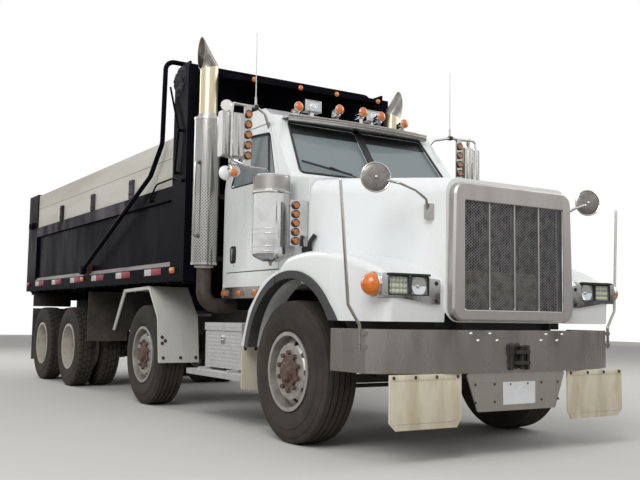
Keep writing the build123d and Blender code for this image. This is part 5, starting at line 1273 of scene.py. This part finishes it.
# Hood: side buttons, the rubber latch at its rear edge, the grille's screws and trim, and what stands
# behind the grille: the radiator's core with its dusty foot, and the black baffles round it
grille_bar_ys = (-0.245, 0, 0.245)
grille_bar_zs = (1.776, 1.030)
grille_opening = ((-0.490, 0.490), (1.016, 1.790))
core_half_y = 0.425
core_z = (1.02, 1.825)
dusty_top_z = 1.305


def finish_hood():
    buttons = joined([dome((x, 0.785, 1.963), (0, 0.9, 0.43), 0.010, 0.006, 14, 3) for x in (3.519, 3.676)])
    settle(both_sides(buttons), "hood_buttons", "chrome", "hood")
    strap = bent_bar([(3.338, 0.905, 1.462), (3.345, 0.928, 1.490), (3.372, 0.932, 1.560),
                      (3.400, 0.905, 1.610)], 19, 22)
    foot = slab((3.262, 0.925, 1.455), (3.350, 0.950, 1.520), 8)
    settle(both_sides(joined([strap, foot])), "hood_latches", "black_trim_and_shade", "hood")
    places = [(4.696, y, z) for z in grille_bar_zs for y in grille_bar_ys]
    screws = [dome(place, forward, 0.006, 0.004, 12, 3) for place in places]
    settle(joined(screws), "grille_bar_screws", "chrome", "grille_surround")
    trim = closed_bar(upright_corners(4.700, *grille_opening), 5, 22)
    settle(trim, "grille_opening_trim", "chrome", "grille_surround")
    node = "engine_and_radiator"
    core = slab((4.524, -core_half_y, core_z[0]), (4.530, core_half_y, core_z[1]), 1)
    settle(core, "radiator_core", "radiator_fins", node)
    low_fins = slab((4.529, -core_half_y, core_z[0]), (4.534, core_half_y, dusty_top_z), 1)
    settle(low_fins, "radiator_dusty_fins", "dusty_fins", node)
    baffle = slab((4.50, 0.430, 1.012), (4.600, 0.560, 1.835), 4)
    top = slab((4.50, -0.56, 1.825), (4.600, 0.56, 1.865), 4)
    beam = slab((4.44, -0.62, 0.885), (4.54, 0.62, 0.985), 6)
    settle(joined([both_sides(baffle), top, beam]), "radiator_baffles", "black_trim_and_shade", node)


# Hood mirrors: a dulled back with its rim and centre stud; the far one is turned towards the driver
hood_mirror_centre = Vector((4.445, 1.070, 1.920))
hood_mirror_facing = Vector((0.92, 0.38, 0)).normalized()
hood_mirror_turn = 2 * math.atan2(0.38, 0.92)
hood_mirror_reach = 0.112


def finish_hood_mirrors():
    node = "hood_mirrors"
    heads = dressed[node]
    choose(heads)
    for group in (heads.data.edges, heads.data.polygons):
        for item in group:
            item.select = False
    for vertex in heads.data.vertices:
        vertex.select = (vertex.co - hood_mirror_centre).length < hood_mirror_reach
    with editing("VERT"):
        bpy.ops.transform.rotate(value=hood_mirror_turn, orient_axis="Z",
                                 center_override=hood_mirror_centre)
    facing = Vector((hood_mirror_facing.x, -hood_mirror_facing.y, 0))
    for name, sign in sides:
        centre = Vector((hood_mirror_centre.x, sign * hood_mirror_centre.y, hood_mirror_centre.z))
        back = dome(centre + facing * 0.015, facing, 0.099, 0.012, 40, 5)
        settle(back, "hood_mirror_back_" + name, "mirror_back", node)
        rim = ring(centre + facing * 0.009, facing, 0.097, 0.1075, 0.012, 44)
        stud = dome(centre + facing * 0.026, facing, 0.013, 0.012, 14, 4)
        settle(joined([rim, stud]), "hood_mirror_rim_" + name, "chrome", node)


# Seats: where they stand, how finely their cushions are cut, how far pulled in and channelled, their sizes
seat_y = 0.470
cushion_cuts = 9
cushion_pull = 0.012
channel_depth = 0.009
channel_width = 0.06
channels = (-0.45, 0.45)
base_size = (0.490, 0.490, 0.120)
rest_size = (0.470, 0.730, 0.115)


# A crowned cushion: its top swells between two sewn channels, and its sides pull in between corners
def cushion(size, centre, across, up, crown):
    pad = cube((0, 0, 0), size)
    with editing(whole=True):
        bpy.ops.mesh.subdivide(number_cuts=cushion_cuts)
    for vertex in pad.data.vertices:
        u, v, w = (2 * vertex.co[axis] / size[axis] for axis in range(3))
        lift = crown * (1 - u * u) * (1 - v * v)
        if w > 0.98:
            lift -= sum(channel_depth * math.exp(-((u - place) / channel_width) ** 2) for place in channels)
        vertex.co.z += lift * max(w, 0)
        vertex.co.x -= cushion_pull * u * (1 - v * v)
        vertex.co.y -= cushion_pull * v * (1 - u * u)
    rounding = pad.modifiers.new("rounding", "SUBSURF")
    rounding.levels = 2
    apply_modifiers(pad)
    return lay_on(pad, centre, across, up)


# New cushions in place of the plain ones, which are cut out of the cab's interior
def fit_seats():
    node = "cab_interior"
    interior = dressed[node]
    choose(interior)
    select_faces(interior, lambda centre, normal: (2.04 < centre.x < 2.53 and 1.47 < centre.z < 1.605)
                 or (centre.x < 2.07 and centre.z > 1.50))
    with editing("FACE"):
        bpy.ops.mesh.delete(type="FACE")
    for side, sign in sides:
        y = sign * seat_y
        base = cushion(base_size, (2.285, y, 1.538), leftward, (-1, 0, 0.02), 0.022)
        rest = cushion(rest_size, (1.990, y, 1.925), leftward, (-0.069, 0, 0.998), 0.018)
        for pad, name in ((base, "seat_cushion_"), (rest, "seat_back_")):
            settle(pad, name + side, "seat_cloth", node, 0)


# Bed: bands of its own finish, tape and lamps on the lower rail, the boards' plank line and small ironwork
bed_side_y = 1.220
band_zs = (2.1085, 2.2515, 1.4415, 1.2885)
band_xs = (-4.193, 1.153, -0.25)
tape_rows = 6
tape_pitch = 0.922
tape_start = 0.451
tape_end = -4.66
tape_z = (1.362, 1.430)
tape_lengths = (0.190, 0.280)
side_lamp_z = (1.366, 1.424)
canopy_lamp_ys = (-0.737, -0.216, 0.216, 0.737)
plank_line = ((-4.185, 1.2035, 2.538), (1.146, 1.2052, 2.543))
stake_bolts = [(x + dx, 1.234, z) for x in (-0.040, -1.450, -2.855) for dx in (-0.03, 0.03)
               for z in (2.30, 2.42)]


# Tape on both sides of the bed's lower rail: one length at each step, from an offset
def tape_pieces(offset, length):
    pieces = []
    for step in range(tape_rows):
        low_x = tape_start - step * tape_pitch + offset
        if low_x > tape_end:
            pieces.append(slab((low_x, bed_side_y - 0.0005, tape_z[0]),
                               (low_x + length, bed_side_y + 0.0012, tape_z[1]), 0.4))
    return both_sides(joined(pieces))


# A lamp on the left of the bed's lower rail, from one x to another
def side_lamp(low_x, high_x):
    return slab((low_x, bed_side_y - 0.001, side_lamp_z[0]), (high_x, bed_side_y + 0.020, side_lamp_z[1]), 7)


def finish_bed():
    node = "bed_body"
    bed = dressed[node]
    divide(bed, *[((0, 0, z), upward) for z in band_zs], *[((x, 0, 0), forward) for x in band_xs])
    bands = (
        ("faded_black", lambda centre, normal: abs(centre.y) > 1.215 and -4.2 < centre.x < -0.25
         and 2.10 < centre.z < 2.255),
        ("faded_black", lambda centre, normal: abs(centre.y) > 1.17 and -4.2 < centre.x < 0.3
         and 2.252 < centre.z < 2.47),
        ("dusty_ledge", lambda centre, normal: abs(centre.y) > 1.17 and 1.438 < centre.z < 1.492
         and normal.z > 0.2),
        ("rusty_iron", lambda centre, normal: abs(centre.x + 1.569) < 0.1 and abs(centre.y) > 1.185
         and 1.43 < centre.z < 1.58),
    )
    for finish, wanted in bands:
        paint_faces(bed, finish, wanted)
    settle(tape_pieces(0, tape_lengths[0]), "tape_white", "tape_white", node)
    settle(tape_pieces(*tape_lengths), "tape_red", "tape_red", node)
    amber = joined([side_lamp(x - 0.052, x + 0.052) for x in (1.235, -1.745)])
    settle(both_sides(amber), "bed_side_lamps", "amber_lens", node)
    settle(both_sides(side_lamp(-4.62, -4.516)), "bed_rear_side_lamps", "red_lens", node)
    front = [dome((1.966, y, 3.236), forward, 0.026, 0.020, 20, 4) for y in canopy_lamp_ys]
    settle(joined(front), "canopy_lamps", "amber_lens", node)
    guide = bent_bar([(1.105, 1.250, 3.270), (1.355, 1.250, 2.783), (1.281, 1.250, 2.361)], 11, 60)
    hanger = bent_bar([(0.591, 1.236, 2.160), (0.591, 1.236, 2.180), (0.772, 1.238, 2.308),
                       (1.222, 1.236, 2.320), (1.434, 1.236, 2.270)], 10, 40)
    feet = [slab((1.335, 1.219, 2.770), (1.375, 1.262, 2.796), 3),
            slab((1.262, 1.219, 2.352), (1.300, 1.262, 2.374), 3),
            slab((0.566, 1.219, 2.140), (0.616, 1.247, 2.170), 3),
            slab((1.410, 1.219, 2.256), (1.456, 1.247, 2.284), 3)]
    settle(both_sides(joined([guide, hanger] + feet)), "tarp_guides", "bed_black", node)
    settle(both_sides(slab(*plank_line, 0.5)), "board_plank_line", "side_board_shadow", "side_boards")
    settle(both_sides(bolt_heads(stake_bolts, leftward, 14)), "stake_bolts", "rusty_iron", node)
    sill = slab((-4.28, 0.520, 1.045), (-1.75, 0.545, 1.295), 4)
    settle(both_sides(sill), "bed_long_sills", "bed_black", node)
    lug = slab((-4.56, 1.219, 2.255), (-4.36, 1.262, 2.345), 6)
    eye = ring((-4.46, 1.262, 2.30), leftward, 0.016, 0.034, 0.012, 20)
    settle(both_sides(joined([lug, eye])), "rear_post_lugs", "bed_black", node)
    lamps = [slab((-4.733, 1.175, z - 0.055), (-4.713, 1.215, z + 0.055), 6) for z in (1.62, 1.76)]
    settle(both_sides(joined(lamps)), "tail_lamps", "red_lens", node)


# Tarp: its gathered ends hang beside the front posts, crumpled by two sizes of fold
gather_centre = (1.265, 1.185, 3.290)
gather_size = (0.150, 0.052, 0.165)
gather_folds = ((0.10, 0.060), (0.045, 0.030))


def gather_tarp():
    deselect_all()
    bpy.ops.mesh.primitive_ico_sphere_add(subdivisions=5, radius=1, location=(0, 0, 0), scale=gather_size)
    bundle = fix_place(bpy.context.object)
    for number, (size, depth) in enumerate(gather_folds):
        texture = bpy.data.textures.new("tarp_fold_" + str(number), "CLOUDS")
        texture.noise_scale = size
        fold = bundle.modifiers.new("fold", "DISPLACE")
        fold.texture = texture
        fold.strength = depth
    apply_modifiers(bundle)
    bundle.location = gather_centre
    settle(both_sides(fix_place(bundle)), "tarp_gathers", "tarp", "tarp_roller")


# Tool box, tank and steps: raised ribs on the plate, the latch, the tank's cap and its straps' bolts.
# Rows: centre of the ribbed face, its across and up directions, its size
ribbed_faces = [
    ((2.0625, -1.0500, 0.645), (1, 0, 0), (0, 0, 1), (0.74, 0.31)),
    ((2.0625, -1.0580, 0.855), (1, 0, 0), (0, 0, 1), (0.75, 0.05)),
    ((2.4400, -0.765, 0.645), (0, 1, 0), (0, 0, 1), (0.55, 0.31)),
    ((2.0625, -0.770, 0.890), (1, 0, 0), (0, 1, 0), (0.75, 0.55)),
    ((2.090, -1.065, 0.455), (1, 0, 0), (0, 1, 0), (1.10, 0.18)),
    ((2.215, 1.065, 0.500), (1, 0, 0), (0, 1, 0), (0.70, 0.18)),
    ((2.215, 0.880, 1.085), (1, 0, 0), (0, 1, 0), (0.58, 0.21)),
]
tank_cap_place = (2.45, 0.79, 1.055)
strap_bolts = [(x, 1.02, 1.005) for x in (1.885, 2.545)]


def finish_tool_box():
    node = "tool_box_and_tank"
    settle(joined([tread_ribs(*face) for face in ribbed_faces]), "tread_ribs", "tread_plate", node, 0)
    plate = slab((2.032, -1.0600, 0.700), (2.108, -1.0495, 0.780), 4)
    paddle = slab((2.045, -1.0680, 0.712), (2.095, -1.0590, 0.745), 3.5)
    settle(joined([plate, paddle]), "tool_box_latch", "chrome", node)
    paint_faces(dressed[node], "polished_steel", lambda centre, normal: centre.y > 0.45
                and 0.46 < centre.z < 1.06)
    cap = turned([(0, 0), (0, 0.055), (0.022, 0.055), (0.030, 0.048), (0.030, 0)], tank_cap_place,
                 upward, 24)
    grips = slab((2.40, 0.780, 1.078), (2.50, 0.800, 1.096), 4)
    settle(joined([cap, grips]), "tank_cap", "chrome", node)
    settle(bolt_heads(strap_bolts, (0, 0.6, 0.8), 20), "tank_strap_bolts", "rusty_iron", node)


# Lift fenders: black inside, rolled edges, bolts along the foot and a cluster higher up, ribs on the slope
lift_hub = Vector((0.305, 0, 0.530))
fender_outline = [(-0.560, 0.780), (-0.225, 1.216), (0.537, 1.234), (0.806, 0.924), (0.866, 0.475)]
fender_edge_y = 1.182
fender_foot = (Vector((0.885, 0, 0.466)), Vector((0.825, 0, 0.930)))
fender_slope = (Vector((0.825, 0, 0.930)), Vector((0.545, 0, 1.250)))
fender_skin = 0.0052
fender_bolts = [(y, 0.050) for y in (0.790, 0.960, 1.150)] + [(1.157, 0.262), (1.124, 0.225), (1.157, 0.200)]


# The direction up a sheet between two points, and the way its face looks
def along_and_out(low, high):
    along = (high - low).normalized()
    return along, Vector((along.z, 0, -along.x))


def finish_lift_fenders():
    node = "lift_fenders"
    paint_faces(dressed[node], "chassis_black", lambda centre, normal: normal.x * (centre.x - lift_hub.x)
                + normal.z * (centre.z - lift_hub.z) < -0.2)
    edge = bent_bar([(x, fender_edge_y, z) for x, z in fender_outline], 17, 30, 3)
    settle(both_sides(edge), "lift_fender_edges", "fender_sheet", node)
    along, out = along_and_out(*fender_foot)
    points = [fender_foot[0] + along * up + out * fender_skin + Vector((0, y, 0)) for y, up in fender_bolts]
    settle(both_sides(bolt_heads(points, out, 20)), "lift_fender_bolts", "rusty_iron", node)
    rise, facing = along_and_out(*fender_slope)
    middle = sum(fender_slope, Vector()) / 2 + facing * fender_skin + Vector((0, 0.9775, 0))
    ribs = tread_ribs(middle, leftward, rise, (0.42, 0.40))
    settle(both_sides(ribs), "lift_fender_ribs", "fender_sheet", node, 0)


# Strip below the cab: its own steel and its amber lamps
strip_top_z = 1.2195
strip_inner_y = 0.87


def finish_cab_strip():
    node = "cab_shell"
    cab = dressed[node]
    divide(cab, ((0, 0, strip_top_z), upward))
    paint_faces(cab, "polished_steel", lambda centre, normal: centre.z < strip_top_z - 0.0005
                and abs(centre.y) > strip_inner_y)
    paint_faces(cab, "chassis_black", lambda centre, normal: centre.z < strip_top_z - 0.0005
                and abs(centre.y) < strip_inner_y)
    lamps = [slab((x - 0.043, 0.9605, 1.142), (x + 0.043, 0.974, 1.188), 6) for x in (1.875, 2.185, 2.495)]
    settle(both_sides(joined(lamps)), "cab_strip_lamps", "amber_lens", node)


# Plain floor, sky and soft lights
floor_size = 60
card_radius = 28
card_height = 2.2
shade_strength = 0.55
lights = (
    ("key", (9, -8, 9), 7, 900),
    ("fill", (4, 11, 7), 8, 500),
    ("back", (-11, -3, 8), 7, 500),
)


# A plain matt tone for a piece of the stage
def matt_paint(piece, name, tone):
    piece.data.materials.append(start_finish(name, tone, 0.0, 0.9)[0])


def set_stage():
    bpy.ops.mesh.primitive_plane_add(size=floor_size, location=(0, 0, 0))
    floor = bpy.context.object
    floor.name = "floor"
    matt_paint(floor, "floor_pale", "#c9c7c4")
    # Cards that only polished surfaces see, so that chrome has a horizon and a ground to show
    bpy.ops.mesh.primitive_cylinder_add(vertices=48, radius=card_radius, depth=card_height,
                                        end_fill_type="NOTHING", location=(0, 0, card_height / 2))
    horizon = bpy.context.object
    bpy.ops.mesh.primitive_circle_add(vertices=48, radius=card_radius - 1, fill_type="NGON",
                                      location=(0, 0, 0.003))
    ground = bpy.context.object
    for card, name, tone in ((horizon, "horizon_card", "#6d6a66"), (ground, "ground_card", "#948d85")):
        card.name = name
        card.visible_camera = False
        card.visible_diffuse = False
        card.visible_transmission = False
        card.visible_shadow = False
        matt_paint(card, name + "_paint", tone)
    # The sky is white to the camera, to metal and through glass, and dimmer as a light
    world = bpy.data.worlds.new("studio")
    bpy.context.scene.world = world
    world.use_nodes = True
    tree = world.node_tree
    background = tree.nodes["Background"]
    rays = add_node(tree, "ShaderNodeLightPath")
    seen = add_node(tree, "ShaderNodeMath", {"operation": "MAXIMUM"}, None,
                    {0: rays.outputs["Is Camera Ray"], 1: rays.outputs["Is Glossy Ray"]})
    clear = add_node(tree, "ShaderNodeMath", {"operation": "MAXIMUM"}, None,
                     {0: seen.outputs[0], 1: rays.outputs["Is Transmission Ray"]})
    strength = add_node(tree, "ShaderNodeMapRange", None, {"To Min": shade_strength, "To Max": 1.0},
                        {"Value": clear.outputs[0]})
    tree.links.new(strength.outputs["Result"], background.inputs["Strength"])
    background.inputs["Color"].default_value = (1, 1, 1, 1)
    for name, place, size, power in lights:
        bpy.ops.object.light_add(type="AREA", location=place)
        lamp = bpy.context.object
        lamp.name = name
        lamp.data.size = size
        lamp.data.energy = power
        lamp.rotation_euler = (Vector((0, 0, 1.2)) - Vector(place)).to_track_quat("-Z", "Y").to_euler()


bpy.context.scene.view_settings.view_transform = "Standard"
set_camera()
set_stage()
dress_all()
fit_tyres()
dress_rims()
weave_grille()
finish_bumper()
finish_flaps()
finish_headlamps()
finish_lamp_bars()
finish_mirrors()
finish_roof_lamps()
finish_windscreen()
finish_visor()
finish_doors()
finish_cleaners()
finish_stacks()
finish_hood()
finish_hood_mirrors()
fit_seats()
finish_bed()
gather_tarp()
finish_tool_box()
finish_lift_fenders()
finish_cab_strip()


# Flat faces keep a flat look beside their rounded edges
for piece in dressed.values():
    flatten = piece.modifiers.new("flatten", "WEIGHTED_NORMAL")
    flatten.mode = "FACE_AREA"
    flatten.weight = 80
    flatten.keep_sharp = True
    apply_modifiers(piece)
